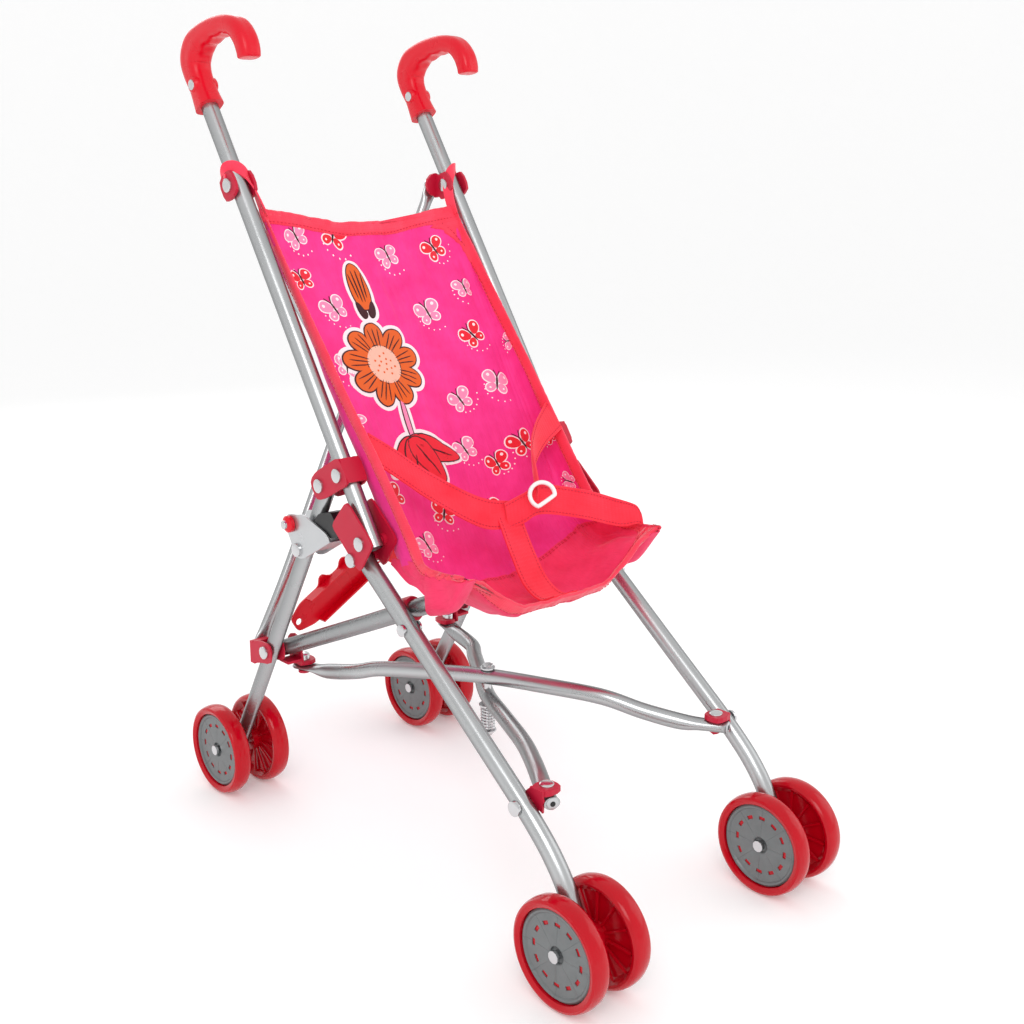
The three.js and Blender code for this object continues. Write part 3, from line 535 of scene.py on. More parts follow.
def disc_mesh():
    """Hub disc: raised rim, a ring of real slots, and a recess round the axle end."""
    stations = [(2.2, 17.9), (3.8, 17.9), (4.9, 18.4), (5.3, 20.1), (6.0, 20.5), (18.0, 20.0), (20.5, 20.0),
                (25.0, 20.2), (25.9, 21.2), (27.0, 21.5), (28.2, 20.6)]
    half = 2.3 / 19
    marks = []
    for k in range(SLOTS):
        a = 2 * math.pi * k / SLOTS
        step = 2 * math.pi / SLOTS
        marks += [a - half, a, a + half] + [a + half + (step - 2 * half) * t for t in (0.2, 0.4, 0.6, 0.8)]
    points, n = [], len(marks)
    for r, top in stations:
        for a in marks:
            points.append((top, r * math.cos(a), r * math.sin(a)))
    front = len(points)
    points += [(17.75, p[1], p[2]) for p in points]
    faces = []
    cells = [(i, j) for i in range(len(stations) - 1) for j in range(n)]
    solid = {(i, j): not (i == SLOT_STATION and j % 7 in (0, 1)) for i, j in cells}
    for (i, j), kept in solid.items():
        if not kept:
            continue
        a, b = i * n + j, i * n + (j + 1) % n
        c, d = (i + 1) * n + (j + 1) % n, (i + 1) * n + j
        faces += [(a, d, c, b), (a + front, b + front, c + front, d + front)]
        after, before = (j + 1) % n, (j - 1) % n
        sides = (((a, b), (i - 1, j)), ((b, c), (i, after)), ((c, d), (i + 1, j)), ((d, a), (i, before)))
        for (u, v), beyond in sides:
            if not solid.get(beyond, False):
                faces.append((u, v, v + front, u + front))
    made = place("disc_shape", points, faces, "hub_grey", None)
    sharpen(made, 30)
    shape = bmesh.new()
    shape.from_mesh(made.data)
    bmesh.ops.delete(shape, geom=[v for v in shape.verts if not v.link_faces], context="VERTS")
    shape.to_mesh(made.data)
    shape.free()
    return made


AXLE_CAP = [(0, 0.4), (0.7, 0.5), (1.0, 1.2), (1.7, 1.5), (2.2, 1.2), (2.5, 0.5), (2.5, -1.4), (0, -1.4)]


def wheels():
    tyre, disc = wheel_mesh(), disc_mesh()
    for side, sign in SIDES.items():
        for end, (y, z) in (("front", FRONT_AXLE), ("rear", REAR_AXLE)):
            for spot, face in (("outer", sign), ("inner", -sign)):
                name = f"{side}_{end}_{spot}"
                for kind, shape in (("wheel", tyre), ("disc", disc)):
                    made = bpy.data.objects.new(f"{name}_{kind}_skin", shape.data)
                    bpy.context.scene.collection.objects.link(made)
                    made.location = (sign * LEG_X * 0.001, y * 0.001, z * 0.001)
                    made.rotation_euler = (0, 0, 0 if face > 0 else math.pi)
                    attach(made, f"{name}_wheel")
                    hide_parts(f"{name}_{kind}")
                lathe(f"{name}_axle_end", AXLE_CAP, (sign * LEG_X + face * 19.6, y, z), (face, 0, 0), "steel",
                      f"{side}_{end}_leg", 28)
    for shape in (tyre, disc):
        bpy.data.objects.remove(shape)


# ---------------------------------------------------------------- crossed tubes and rivets
def crossed_tubes():
    cross_z = 295.2
    for letter, sign, middle in (("a", -1, 158.8), ("b", 1, 164.6)):
        top, foot = LEG_X - 8.0, LEG_X - 2.5
        stations = [
            (sign * (top + 2.3), 165.4, 463.4, 1.9, 5), (sign * top, 165.4, 459, 1.9, 6),
            (sign * (top - 4), 165.4, 451.4, 1.9, 6), (sign * (top - 9), 164.8, 442, 3.6, 4.7),
            (sign * (top - 30), 164.2, 402, 3.6, 4.7),
            (sign * 24, middle + (165.4 - middle) * 0.25, cross_z + 45, 3.6, 4.7),
            (sign * 5.5, middle, cross_z + 10, 2.5, 5), (-sign * 5.5, middle, cross_z - 10, 2.5, 5),
            (-sign * 24, middle + (158 - middle) * 0.25, cross_z - 45, 3.6, 4.7),
            (-sign * (foot - 30), 158.7, 177, 3.5, 4.7),
            (-sign * (foot - 9), 158.6, 138, 3.2, 4.7), (-sign * (foot - 3.5), 158, 127.6, 1.9, 6),
            (-sign * foot, 158, 121, 1.9, 6), (-sign * (foot + 2.6), 158, 116, 1.9, 5),
        ]
        made = tube(f"back_x_tube_{letter}_skin", smoothed(stations, 84), (0, 1, 0), "silver_paint",
                    f"back_x_tube_{letter}")
        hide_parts(f"back_x_tube_{letter}")
    rear, front = LEG_X + REAR_BOLT[0], LEG_X + FRONT_BOLT[0]
    for letter, sign, middle in (("c", -1, 119.2), ("d", 1, 104.6)):
        rise = middle - 108
        full = (TUBE_R - 0.4, TUBE_R - 0.2)
        stations = [
            (sign * (rear + 2.4), 137.5, 108.4, 2, 5), (sign * (rear + 1), 134, 108.4, 2, 7),
            (sign * (rear - 3), 123, 108.4, 2.2, 7), (sign * (rear - 8), 110, 108, *full),
            (sign * 56, 84, 108 + rise * 0.5, *full), (sign * 45, 68, 108 + rise * 0.85, *full),
            (sign * 22, 34, 108 + rise * 0.99, *full), (0, 1.9, middle, *full),
            (-sign * 19, -38, 108 + rise * 0.96, *full), (-sign * 37, -75, 108 + rise * 0.8, *full),
            (-sign * 52, -100, 106.6 + rise * 0.3, *full), (-sign * (front - 14), -121, 105.2, *full),
            (-sign * (front - 6), -133, 104.6, 4.3, 5.7), (-sign * (front + 1.4), -145, 104.6, 4.2, 5.5),
            (-sign * (front + 3.0), -149.5, 104.6, 4.1, 5.4),
        ]
        made = tube(f"bottom_x_tube_{letter}_skin", smoothed(stations, 90), (0, 0, 1), "silver_paint",
                    f"bottom_x_tube_{letter}")
        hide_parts(f"bottom_x_tube_{letter}")
        end, facing = (-sign * (front + 3.0), -149.5, 104.6), (-sign * 0.4, -1, 0)
        body = f"bottom_x_tube_{letter}"
        rivet(f"{body}_plug", end, facing, 3.9, body, 0.9, "sheet_steel")
        socket = tuple(c + 0.9 * f for c, f in zip(end, facing))
        rivet(f"{body}_socket", socket, facing, 1.7, body, 0.15, "black_plastic")
    turns, steps = 7, 22
    coil = []
    for i in range(turns * steps + 1):
        a = 2 * math.pi * i / steps
        drop = 15.4 * i / (turns * steps)
        coil.append([4.9 * math.cos(a), 1.9 + 4.9 * math.sin(a), 95.6 - drop, 0.75, 0.75])
    made = tube("bottom_x_spring_skin", coil, (0, 0, 1), "steel", "bottom_x_tube_c", sides=10)
    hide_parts("bottom_x_spring")


def rivets():
    """Domed heads on every hinge: (name, body, height from the leg plane, y, z, radius)."""
    heads = [
        ("clip", "frame", 8.2, *CLIP_RIVET, 4.8), ("rear_hinge", "frame", 8.2, *REAR_HINGE, 4.8),
        ("leg_hinge", "front_leg", 10.4, *LEG_HINGE, 4.8), ("plate", "front_leg", 10.4, *PLATE_RIVET, 4.8),
        ("lever", "lock_lever", 8.5, *LEVER_PIVOT, 4.8), ("knob", "lock_lever", 13.2, *LEVER_KNOB, 3.0),
        ("rail_pivot", "rear_leg", 6.7, *RAIL_PIVOT, 4.8),
        ("rail_cross", "front_leg", 6.0, -30.5, 186.2, 4.0),
        ("bracket", "front_bracket", 6.4, *FRONT_BRACKET, 4.9),
        ("top", "top_bracket", 8.6, *TOP_BRACKET, 4.8),
    ]
    inner = {"clip": -8.2, "rear_hinge": -8.2, "leg_hinge": -10.4, "plate": -10.4, "lever": -8.5,
             "rail_pivot": -20.8, "top": -8.6, "rail_cross": -6.0}
    for side, sign in SIDES.items():
        for name, body, height, y, z, radius in heads:
            high = (sign * (LEG_X + height), y, z)
            rivet(f"{side}_{name}_head", high, (sign, 0, 0), radius, f"{side}_{body}")
            if name in inner:
                low = sign * (LEG_X + inner[name])
                rivet(f"{side}_{name}_tail", (low, y, z), (-sign, 0, 0), radius, f"{side}_{body}", 1.5)
        up = (sign * (LEG_X + FRONT_BOLT[0]), FRONT_BOLT[1], 112.8)
        rivet(f"{side}_front_bolt", up, (0, 0, 1), 4.6, f"{side}_front_bracket", 1.7)
        up = (sign * (LEG_X + REAR_BOLT[0]), REAR_BOLT[1], 114)
        rivet(f"{side}_rear_bolt", up, (0, 0, 1), 4.6, f"{side}_rear_bracket", 5.6)
        rivet(f"{side}_top_bolt", (sign * (LEG_X - 8), 169.0, 459.0), (0, 1, 0), 4.2, f"{side}_top_bracket")


CAD_FINISH = {
    "u_clip": "red_plastic", "hinge_plates": "red_plastic", "leg_plug": "black_plastic",
    "front_axle": "steel",
    "rear_axle": "steel", "rear_bracket": "red_plastic", "front_bracket": "red_plastic",
    "top_bracket": "red_plastic", "back_x_foot": "red_plastic", "lock_lever": "sheet_steel",
    "lever_knob": "red_gloss",
}


def cad_nodes():
    for side in SIDES:
        for name, finish in CAD_FINISH.items():
            finish_node(f"{side}_{name}", finish)
    for name in ("back_x_pivot", "bottom_x_bolt"):
        finish_node(name, "steel")
    for name in ("lock_link_left", "lock_link_right"):
        finish_node(name, "red_gloss")


def finish_node(name, finish):
    node = NODES[name]
    if not node.material_slots:
        node.data.materials.append(MATERIALS[finish])
    for spot in node.material_slots:
        spot.material = MATERIALS[finish]
    polish_node(name)


# ---------------------------------------------------------------- fabric surface
# Cross-sections of the seat from the top hem down the back and along the seat to the front hem:
# free edge, corner against the frame, quarter point, middle. The right half only, in mm.
SEAT_ROWS = [
    ((85.4, 138.8, 444), (85, 139.6, 443), (45, 139, 437), (0, 138.5, 433)),
    ((85.2, 118, 416), (84.6, 123, 413), (45, 124.5, 411), (0, 125, 410)),
    ((85, 84, 374), (84.2, 94, 369), (45, 97, 367), (0, 98, 366)),
    ((84.8, 51, 333), (83.8, 66, 326), (45, 71, 323), (0, 73, 322)),
    ((83, 17, 290), (82.4, 37, 281), (45, 45, 277), (0, 48, 276)),
    ((82.6, -14, 250), (81.6, 12, 244), (45, 21, 236), (0, 25, 234)),
    ((84.6, -30, 231), (82, -3, 224), (45, 3, 207), (0, 4, 202)),
    ((88.6, -42, 228), (86, -22, 213), (45, -16, 195), (0, -16, 190)),
    ((89.6, -56, 228), (87.6, -46, 220), (45, -42, 193), (0, -42, 188)),
    ((90, -68, 229), (88.6, -64, 226), (45, -63, 196), (0, -62, 191)),
    ((90, -78, 229.6), (89.4, -76.5, 228), (45, -76.5, 203), (0, -76.5, 199)),
]
CELLS = 14  # fine cells between two control points, both ways
FADE_LENGTH, FADE_WIDTH = 480, 210  # spans that turn shares of the cloth into distances from its edges
SETTLE_LIMIT = 2.5  # the most that the simulation may move a point
FOLD_ROW = 6.35  # where the printed back is sewn to the plain seat, counted in control rows


def control_grid():
    grid = []
    for edge, corner, quarter, middle in SEAT_ROWS:
        near = tuple(0.22 * q + 0.78 * c for q, c in zip(quarter[1:], corner[1:]))
        half = [edge, corner, (73.0, *near), quarter, (22.0, *middle[1:])]
        grid.append([(-x, y, z) for x, y, z in half] + [middle] + half[::-1])
    return np.array(grid, float)


def refined(grid, cells):
    rows, cols = grid.shape[:2]
    wide = np.stack([smoothed(row, (cols - 1) * cells + 1) for row in grid])
    return np.stack([smoothed(wide[:, k], (rows - 1) * cells + 1) for k in range(wide.shape[1])], axis=1)


def front_normals(grid):
    across = np.gradient(grid, axis=1)
    down = np.gradient(grid, axis=0)
    n = -np.cross(across, down)
    return n / np.maximum(np.linalg.norm(n, axis=2, keepdims=True), 1e-9)


def shares(rows, cols):
    """How far down and how far across each point lies, from 0 to 1."""
    return np.meshgrid(np.linspace(0, 1, rows), np.linspace(0, 1, cols), indexing="ij")


def from_edge(v, u):
    """Nominal distance from the nearest edge, for fading."""
    return np.minimum(np.minimum(v, 1 - v) * FADE_LENGTH, np.minimum(u, 1 - u) * FADE_WIDTH)


def settled(grid):
    """Cloth simulation of the sling, hung from its hems; no point moves by more than SETTLE_LIMIT."""
    rows, cols = grid.shape[:2]
    faces = [(i * cols + j, (i + 1) * cols + j, (i + 1) * cols + j + 1, i * cols + j + 1)
             for i in range(rows - 1) for j in range(cols - 1)]
    rng = np.random.RandomState(3)
    rough = grid + front_normals(grid) * rng.normal(0, 0.12, grid.shape[:2])[:, :, None]
    made = place("sling_cloth", rough.reshape(-1, 3), faces, "pink_cloth", None)
    pins = made.vertex_groups.new(name="pins")
    for i in range(rows):
        for j in range(cols):
            held = i in (0, rows - 1) or j in (0, cols - 1)
            corner = j in (cols // 10, cols - 1 - cols // 10)
            if held or corner:
                pins.add([i * cols + j], 1.0 if held else 0.35, "REPLACE")
    cloth = made.modifiers.new("cloth", "CLOTH")
    settings = cloth.settings
    settings.quality = 6
    settings.mass = 0.02
    settings.tension_stiffness = 12
    settings.compression_stiffness = 12
    settings.shear_stiffness = 4
    settings.bending_stiffness = 0.02
    settings.shrink_min = -0.02
    settings.vertex_group_mass = "pins"
    cloth.collision_settings.use_collision = False
    for step in range(1, 21):
        bpy.context.scene.frame_set(step)
    shape = made.evaluated_get(bpy.context.evaluated_depsgraph_get()).data
    moved = np.empty(len(shape.vertices) * 3)
    shape.vertices.foreach_get("co", moved)
    moved = moved.reshape(rows, cols, 3) * 1000
    bpy.context.scene.frame_set(1)
    bpy.data.objects.remove(made)
    shift = moved - grid
    for _ in range(3):
        padded = np.pad(shift, ((1, 1), (1, 1), (0, 0)), mode="edge")
        shift = (padded[:-2, 1:-1] + padded[2:, 1:-1] + padded[1:-1, :-2] + padded[1:-1, 2:] + 2 * shift) / 6
    fade = np.clip((from_edge(*shares(rows, cols)) - 6) / 22, 0, 1)[:, :, None]
    size = np.linalg.norm(shift, axis=2, keepdims=True)
    return grid + shift * fade * np.minimum(1, SETTLE_LIMIT / np.maximum(size, 1e-6))


def creases(grid):
    """Fine lengthwise creases and seam puckers of the thin cloth."""
    rows, cols = grid.shape[:2]
    v, u = shares(rows, cols)
    rng = np.random.RandomState(11)
    lift = np.zeros((rows, cols))
    for _ in range(26):
        across, down = rng.uniform(9, 46), rng.uniform(0.5, 5)
        phase, wander = rng.uniform(0, 6.3), rng.uniform(-1.5, 1.5)
        patch = 0.5 + 0.5 * np.sin(rng.uniform(2, 7) * v * 6.3 + rng.uniform(0, 6.3) + 3 * u)
        run = across * u * 6.3 + down * v * 6.3 + wander * np.sin(v * 9) + phase
        lift += patch * np.sin(run) * 4.0 / across
    lift *= 0.55
    edge = from_edge(v, u)
    inner = np.clip((edge - 8) / 30, 0, 1)
    for _ in range(9):
        across, down = rng.uniform(-4, 4), rng.uniform(2, 9)
        bend = 1.5 * np.sin(u * 5 + rng.uniform(0, 6.3))
        lift += 0.3 * inner * np.sin(across * u * 6.3 + down * v * 6.3 + bend)
    pucker = np.exp(-np.maximum(edge - 8, 0) / 7) * np.sin(v * 400 + 2.1 * np.sin(u * 60)) * 0.22
    near = np.exp(-((v - FOLD_ROW / 10) * 26) ** 2) * np.sin(u * 130 + 2 * np.sin(u * 31)) * 0.7
    return grid + front_normals(grid) * (lift + pucker + near)[:, :, None]


class Surface:
    """The sling's front face as a fine grid; places are given in control rows and columns (0 to 10 each)."""

    def __init__(self, grid):
        self.grid = grid
        self.normals = front_normals(grid)

    def at(self, v, u, lift=0.0):
        rows, cols = self.grid.shape[:2]
        r = np.clip(np.asarray(v, float) * CELLS, 0, rows - 1.001)
        c = np.clip(np.asarray(u, float) * CELLS, 0, cols - 1.001)
        i, j = r.astype(int), c.astype(int)
        f, g = (r - i)[..., None], (c - j)[..., None]
        result = []
        for field in (self.grid, self.normals):
            top = field[i, j] * (1 - g) + field[i, j + 1] * g
            low = field[i + 1, j] * (1 - g) + field[i + 1, j + 1] * g
            result.append(top * (1 - f) + low * f)
        return result[0] + result[1] * np.asarray(lift)[..., None]

    def steps(self, v, u):
        """Control rows and columns per mm at a place."""
        d = 0.15
        down = np.linalg.norm(self.at(min(v + d, 10), u) - self.at(max(v - d, 0), u))
        wide = np.linalg.norm(self.at(v, min(u + d, 10)) - self.at(v, max(u - d, 0)))
        return (min(v + d, 10) - max(v - d, 0)) / down, (min(u + d, 10) - max(u - d, 0)) / wide

    def find(self, x, z):
        """The place on the back at a given x and z."""
        part = self.grid[: 8 * CELLS]
        gap = np.hypot(part[:, :, 0] - x, part[:, :, 2] - z)
        i, j = np.unravel_index(np.argmin(gap), gap.shape)
        return i / CELLS, j / CELLS


def thick_sheet(name, grid, thickness, finish, body, second=None, split=None):
    """A closed thin sheet behind a front face grid, with UV in units of 10 mm."""
    rows, cols = grid.shape[:2]
    back = grid - front_normals(grid) * thickness
    points = np.vstack([grid.reshape(-1, 3), back.reshape(-1, 3)])
    n = rows * cols
    faces, kind = [], []
    for i in range(rows - 1):
        for j in range(cols - 1):
            a, b, c, d = i * cols + j, (i + 1) * cols + j, (i + 1) * cols + j + 1, i * cols + j + 1
            faces += [(a, b, c, d), (a + n, d + n, c + n, b + n)]
            kind += [split is not None and i >= split] * 2
    rim = [(0, j) for j in range(cols - 1)] + [(i, cols - 1) for i in range(rows - 1)]
    rim += [(rows - 1, j) for j in range(cols - 1, 0, -1)] + [(i, 0) for i in range(rows - 1, 0, -1)]
    loop = [i * cols + j for i, j in rim]
    for a, b in zip(loop, loop[1:] + loop[:1]):
        faces.append((a, b, b + n, a + n))
        kind.append(False)
    lengths = np.linalg.norm(np.diff(grid, axis=1), axis=2).mean(axis=0)
    heights = np.linalg.norm(np.diff(grid, axis=0), axis=2).mean(axis=1)
    u = np.concatenate([[0], np.cumsum(lengths)]) / 10
    v = np.concatenate([[0], np.cumsum(heights)]) / 10
    uv = [(u[j], v[i]) for i in range(rows) for j in range(cols)] * 2
    made = place(name, points, faces, finish, body, uv=uv)
    if second:
        made.data.materials.append(MATERIALS[second])
        made.data.polygons.foreach_set("material_index", [int(k) for k in kind])
    sharpen(made, 60)
    return made


def ribbon_grid(pairs, length_steps, width_steps):
    """A smooth strap face from pairs of edge points."""
    pairs = np.asarray(pairs, float)
    first, second = smoothed(pairs[:, 0], length_steps), smoothed(pairs[:, 1], length_steps)
    t = np.linspace(0, 1, width_steps)[None, :, None]
    return first[:, None] * (1 - t) + second[:, None] * t


def tape_section(surface, places, inward, name, width, body):
    """Binding tape folded over an edge; places run along it, inward is the (row, column) step off it."""
    profile = [(width, 0.25), (width - 0.7, 0.75), (width * 0.5, 0.85), (0.8, 0.8), (-0.35, 0.35),
               (-0.6, -0.35), (-0.35, -1.1), (0.8, -1.5), (width * 0.5, -1.55), (width - 0.7, -1.45),
               (width, -0.95)]
    rings = []
    for k, (v, u) in enumerate(places):
        per_row, per_col = surface.steps(v, u)
        edge = surface.at(v, u)
        inner = surface.at(v + inward[0] * per_row * 1.5, u + inward[1] * per_col * 1.5)
        outward = edge - inner
        outward /= np.linalg.norm(outward)
        ripple = 0.14 * math.sin(k * 1.1) + 0.1 * math.sin(k * 0.37 + 1)
        ring = []
        for d, h in profile:
            if d > 0:
                row, column = v + inward[0] * per_row * d, u + inward[1] * per_col * d
                ring.append(surface.at(row, column, h + ripple * 0.4))
            else:
                ring.append(surface.at(v, u, h) - outward * d * 1.4)
        rings.append(ring)
    rings = np.array(rings)
    count, sides = rings.shape[:2]
    along_edge = np.concatenate([[0], np.cumsum(np.linalg.norm(np.diff(rings[:, 3], axis=0), axis=1))]) / 10
    uv = [(s * 0.32, along_edge[i]) for i in range(count) for s in range(sides)]
    made = place(name, rings.reshape(-1, 3), ring_faces(count, sides, False), "binding", body, uv=uv)
    face_outwards(made)
    return made


class Batch:
    """Many small closed patches gathered into one mesh."""

    def __init__(self):
        self.points, self.faces = [], []

    def add(self, points, faces):
        start = sum(len(p) for p in self.points)
        self.points.append(np.asarray(points, float))
        self.faces += [tuple(i + start for i in f) for f in faces]

    def make(self, name, finish, body):
        made = place(name, np.vstack(self.points), self.faces, finish, body, smooth=False)
        face_outwards(made)
        return made


def stitch(batch, start, end, normal, radius=0.28, lift=0.12):
    """One short raised thread between two points."""
    run = end - start
    length = np.linalg.norm(run)
    if length < 1e-6:
        return
    run /= length
    side = np.cross(normal, run)
    side /= max(np.linalg.norm(side), 1e-9)
    points = []
    for t, r in ((0.0, 0.4), (0.2, 1.0), (0.8, 1.0), (1.0, 0.4)):
        centre = start + run * length * t + normal * (lift if 0 < t < 1 else lift - 0.2)
        points += [centre + side * radius * r, centre + normal * radius * r, centre - side * radius * r,
                   centre - normal * radius * r]
    faces = [(3, 2, 1, 0), (12, 13, 14, 15)]
    for k in range(3):
        a = 4 * k
        faces += [(a + j, a + (j + 1) % 4, a + 4 + (j + 1) % 4, a + 4 + j) for j in range(4)]
    batch.add(points, faces)


def stitch_line(batch, surface, places, lift, pitch=3.1, share=0.66):
    """A row of stitches through places (rows, columns) on the sling's surface."""
    line = np.array([surface.at(v, u, lift) for v, u in places])
    normal = np.array([surface.at(v, u, lift + 1) for v, u in places]) - line
    stitch_run(batch, line, normal, pitch, share)


def stitch_run(batch, line, normal, pitch=3.1, share=0.66):
    run = np.concatenate([[0], np.cumsum(np.linalg.norm(np.diff(line, axis=0), axis=1))])

    def point(field, s):
        return np.array([np.interp(s, run, field[:, k]) for k in range(3)])

    s = 0.6
    while s + pitch * share < run[-1]:
        n = point(normal, s)
        stitch(batch, point(line, s), point(line, s + pitch * share), n / max(np.linalg.norm(n), 1e-9))
        s += pitch


# ---------------------------------------------------------------- printed pattern
class Printer:
    """Prints flat shapes onto the sling as thin closed patches, one batch for each colour."""

    def __init__(self, surface):
        self.surface = surface
        self.batches = {}

    def blob(self, place_at, outline, colour, lift):
        """outline: closed loop of (x, y) in mm round place_at, y up the seat."""
        v0, u0 = place_at
        per_row, per_col = self.surface.steps(v0, u0)
        outline = np.asarray(outline, float)
        centre = outline.mean(axis=0)
        count = len(outline)
        shares = (0.2, 0.4, 0.6, 0.8, 1.0) if np.ptp(outline, axis=0).max() > 14 else (0.5, 1.0)
        spots = [centre] + [centre + (p - centre) * s for s in shares for p in outline]
        spots = np.array(spots)
        v, u = v0 - spots[:, 1] * per_row, u0 + spots[:, 0] * per_col
        if v.min() < 0.02 or v.max() > 9.9 or u.min() < 0.05 or u.max() > 9.95:
            return
        top = self.surface.at(v, u, np.full(len(v), lift))
        low = self.surface.at(v, u, np.full(len(v), -0.15))
        under = len(v)
        faces = [(0, 1 + j, 1 + (j + 1) % count) for j in range(count)]
        for ring_at in range(len(shares) - 1):
            a, b = 1 + ring_at * count, 1 + (ring_at + 1) * count
            faces += [(a + j, b + j, b + (j + 1) % count, a + (j + 1) % count) for j in range(count)]
        faces += [tuple(i + under for i in f[::-1]) for f in faces]
        rim = under - count
        faces += [(rim + j, rim + under + j, rim + under + (j + 1) % count, rim + (j + 1) % count)
                  for j in range(count)]
        self.batches.setdefault(colour, Batch()).add(np.vstack([top, low]), faces)

    def ellipse(self, place_at, centre, radii, turn, colour, lift, grow=0.0, count=22, point=0.0):
        angle = np.linspace(0, 2 * math.pi, count, endpoint=False)
        x = (radii[0] + grow) * np.cos(angle)
        y = (radii[1] + grow) * np.sin(angle) * (1 - point * np.cos(angle))
        c, s = math.cos(turn), math.sin(turn)
        outline = np.column_stack([centre[0] + c * x - s * y, centre[1] + s * x + c * y])
        self.blob(place_at, outline, colour, lift)

    def finish(self, body):
        colours = sorted(self.batches)
        return [self.batches[colour].make(f"{colour}_shapes", colour, body) for colour in colours]


def turned(point, angle):
    c, s = math.cos(angle), math.sin(angle)
    return (c * point[0] - s * point[1], s * point[0] + c * point[1])


def butterfly(printer, spot, size, tilt, fill, trail):
    """Four outlined wings, a thin body with feelers, and a dotted trail."""
    wings = [((5.6, 3.4), (5.4, 4.2), 0.75, 0.25), ((-5.6, 3.4), (5.4, 4.2), math.pi - 0.75, 0.25),
             ((4.3, -4.2), (3.9, 3.0), -0.6, 0.15), ((-4.3, -4.2), (3.9, 3.0), math.pi + 0.6, 0.15)]
    for grow, colour, lift in ((0.9, "print_white", 0.10), (0.0, fill, 0.24)):
        for centre, radii, turn, point in wings:
            scaled = tuple(c * size for c in turned(centre, tilt))
            wing = (radii[0] * size, radii[1] * size)
            printer.ellipse(spot, scaled, wing, turn + tilt, colour, lift, grow * size, point=-point)
    for centre, r in (((7.4, 5.0), 1.25), ((-7.4, 5.0), 1.25), ((5.2, -4.9), 0.8), ((-5.2, -4.9), 0.8)):
        scaled = tuple(c * size for c in turned(centre, tilt))
        printer.ellipse(spot, scaled, (r * size, r * size), 0, "print_white", 0.36, count=12)
    printer.ellipse(spot, (0, 0), (5.6 * size, 0.75 * size), tilt + math.pi / 2, "print_dark", 0.40, count=14)
    for side in (-1, 1):
        scaled = tuple(c * size for c in turned((side * 1.6, 7.4), tilt))
        turn = tilt + math.pi / 2 - side * 0.5
        printer.ellipse(spot, scaled, (2.7 * size, 0.3 * size), turn, "print_dark", 0.40, count=10)
    for k in range(7):
        a = trail + k * 0.33
        scaled = ((10 + 1.1 * k) * math.cos(a) * size, (10 + 1.1 * k) * math.sin(a) * size)
        printer.ellipse(spot, scaled, (0.55, 0.55), 0, "print_white", 0.12, count=8)


def layered(printer, spot, centre, radii, turn, fill, point=0.0, level=0.0, outline=0.9, margin=2.6):
    """A printed shape with a dark outline inside a white margin."""
    printer.ellipse(spot, centre, radii, turn, "print_white", 0.26, margin, 36, point)
    printer.ellipse(spot, centre, radii, turn, "print_dark", 0.42 + level, 0.0, 36, point)
    printer.ellipse(spot, centre, radii, turn, fill, 0.56 + level, -outline, 36, point)


def flower(printer):
    """A large generic flower with a bud above it and broad leaves below."""
    surface = printer.surface
    head = surface.find(-26, 338)
    stem = surface.find(-22, 285)
    bud = surface.find(-24, 396)
    layered(printer, stem, (1, 16), (22, 2.6), math.pi / 2, "print_pink", 0.0, 0.02)
    for k, (turn, length) in enumerate(((-2.45, 27), (-0.45, 31), (-1.85, 26), (-1.1, 29))):
        tip = (0.55 * length * math.cos(turn), 0.55 * length * math.sin(turn))
        layered(printer, stem, tip, (length * 0.72, 9.5), turn, "print_red", 0.35, 0.10 + 0.16 * k)
        printer.ellipse(stem, tip, (length * 0.5, 0.6), turn, "print_dark", 0.82 + 0.16 * k, count=12)
    for k in range(9):
        a = math.pi / 2 + 2 * math.pi * k / 9
        tip = (20 * math.cos(a), 20 * math.sin(a))
        layered(printer, head, tip, (12.5, 8.2), a, "print_orange", -0.22, 0.12 + 0.015 * (k % 2))
        for fan in (-0.16, 0.0, 0.16):
            vein = (20.5 * math.cos(a + fan), 20.5 * math.sin(a + fan))
            printer.ellipse(head, vein, (7.5, 0.45), a + fan, "print_dark", 0.84, count=10)
    layered(printer, head, (0, 0), (15.5, 15.5), 0.0, "print_peach", 0.0, 0.26, margin=0.0)
    for k in range(14):
        a, r = k * 2.4, 2.6 * math.sqrt(k + 0.4)
        seed = (r * math.cos(a), r * math.sin(a))
        printer.ellipse(head, seed, (0.8, 0.8), 0, "print_orange", 1.0, count=10)
    layered(printer, bud, (0, -6), (19, 8.6), math.pi / 2, "print_orange", 0.18, 0.02)
    for shift in (-4.4, -1.5, 1.5, 4.4):
        turn = math.pi / 2 - shift * 0.02
        printer.ellipse(bud, (shift, -6), (14 - abs(shift), 0.55), turn, "print_dark", 0.78, count=12)
    layered(printer, bud, (-4.5, -24), (7, 3.4), 1.9, "print_dark", 0.2, 0.04)
    layered(printer, bud, (4.5, -24), (7, 3.4), 1.24, "print_dark", 0.2, 0.04)
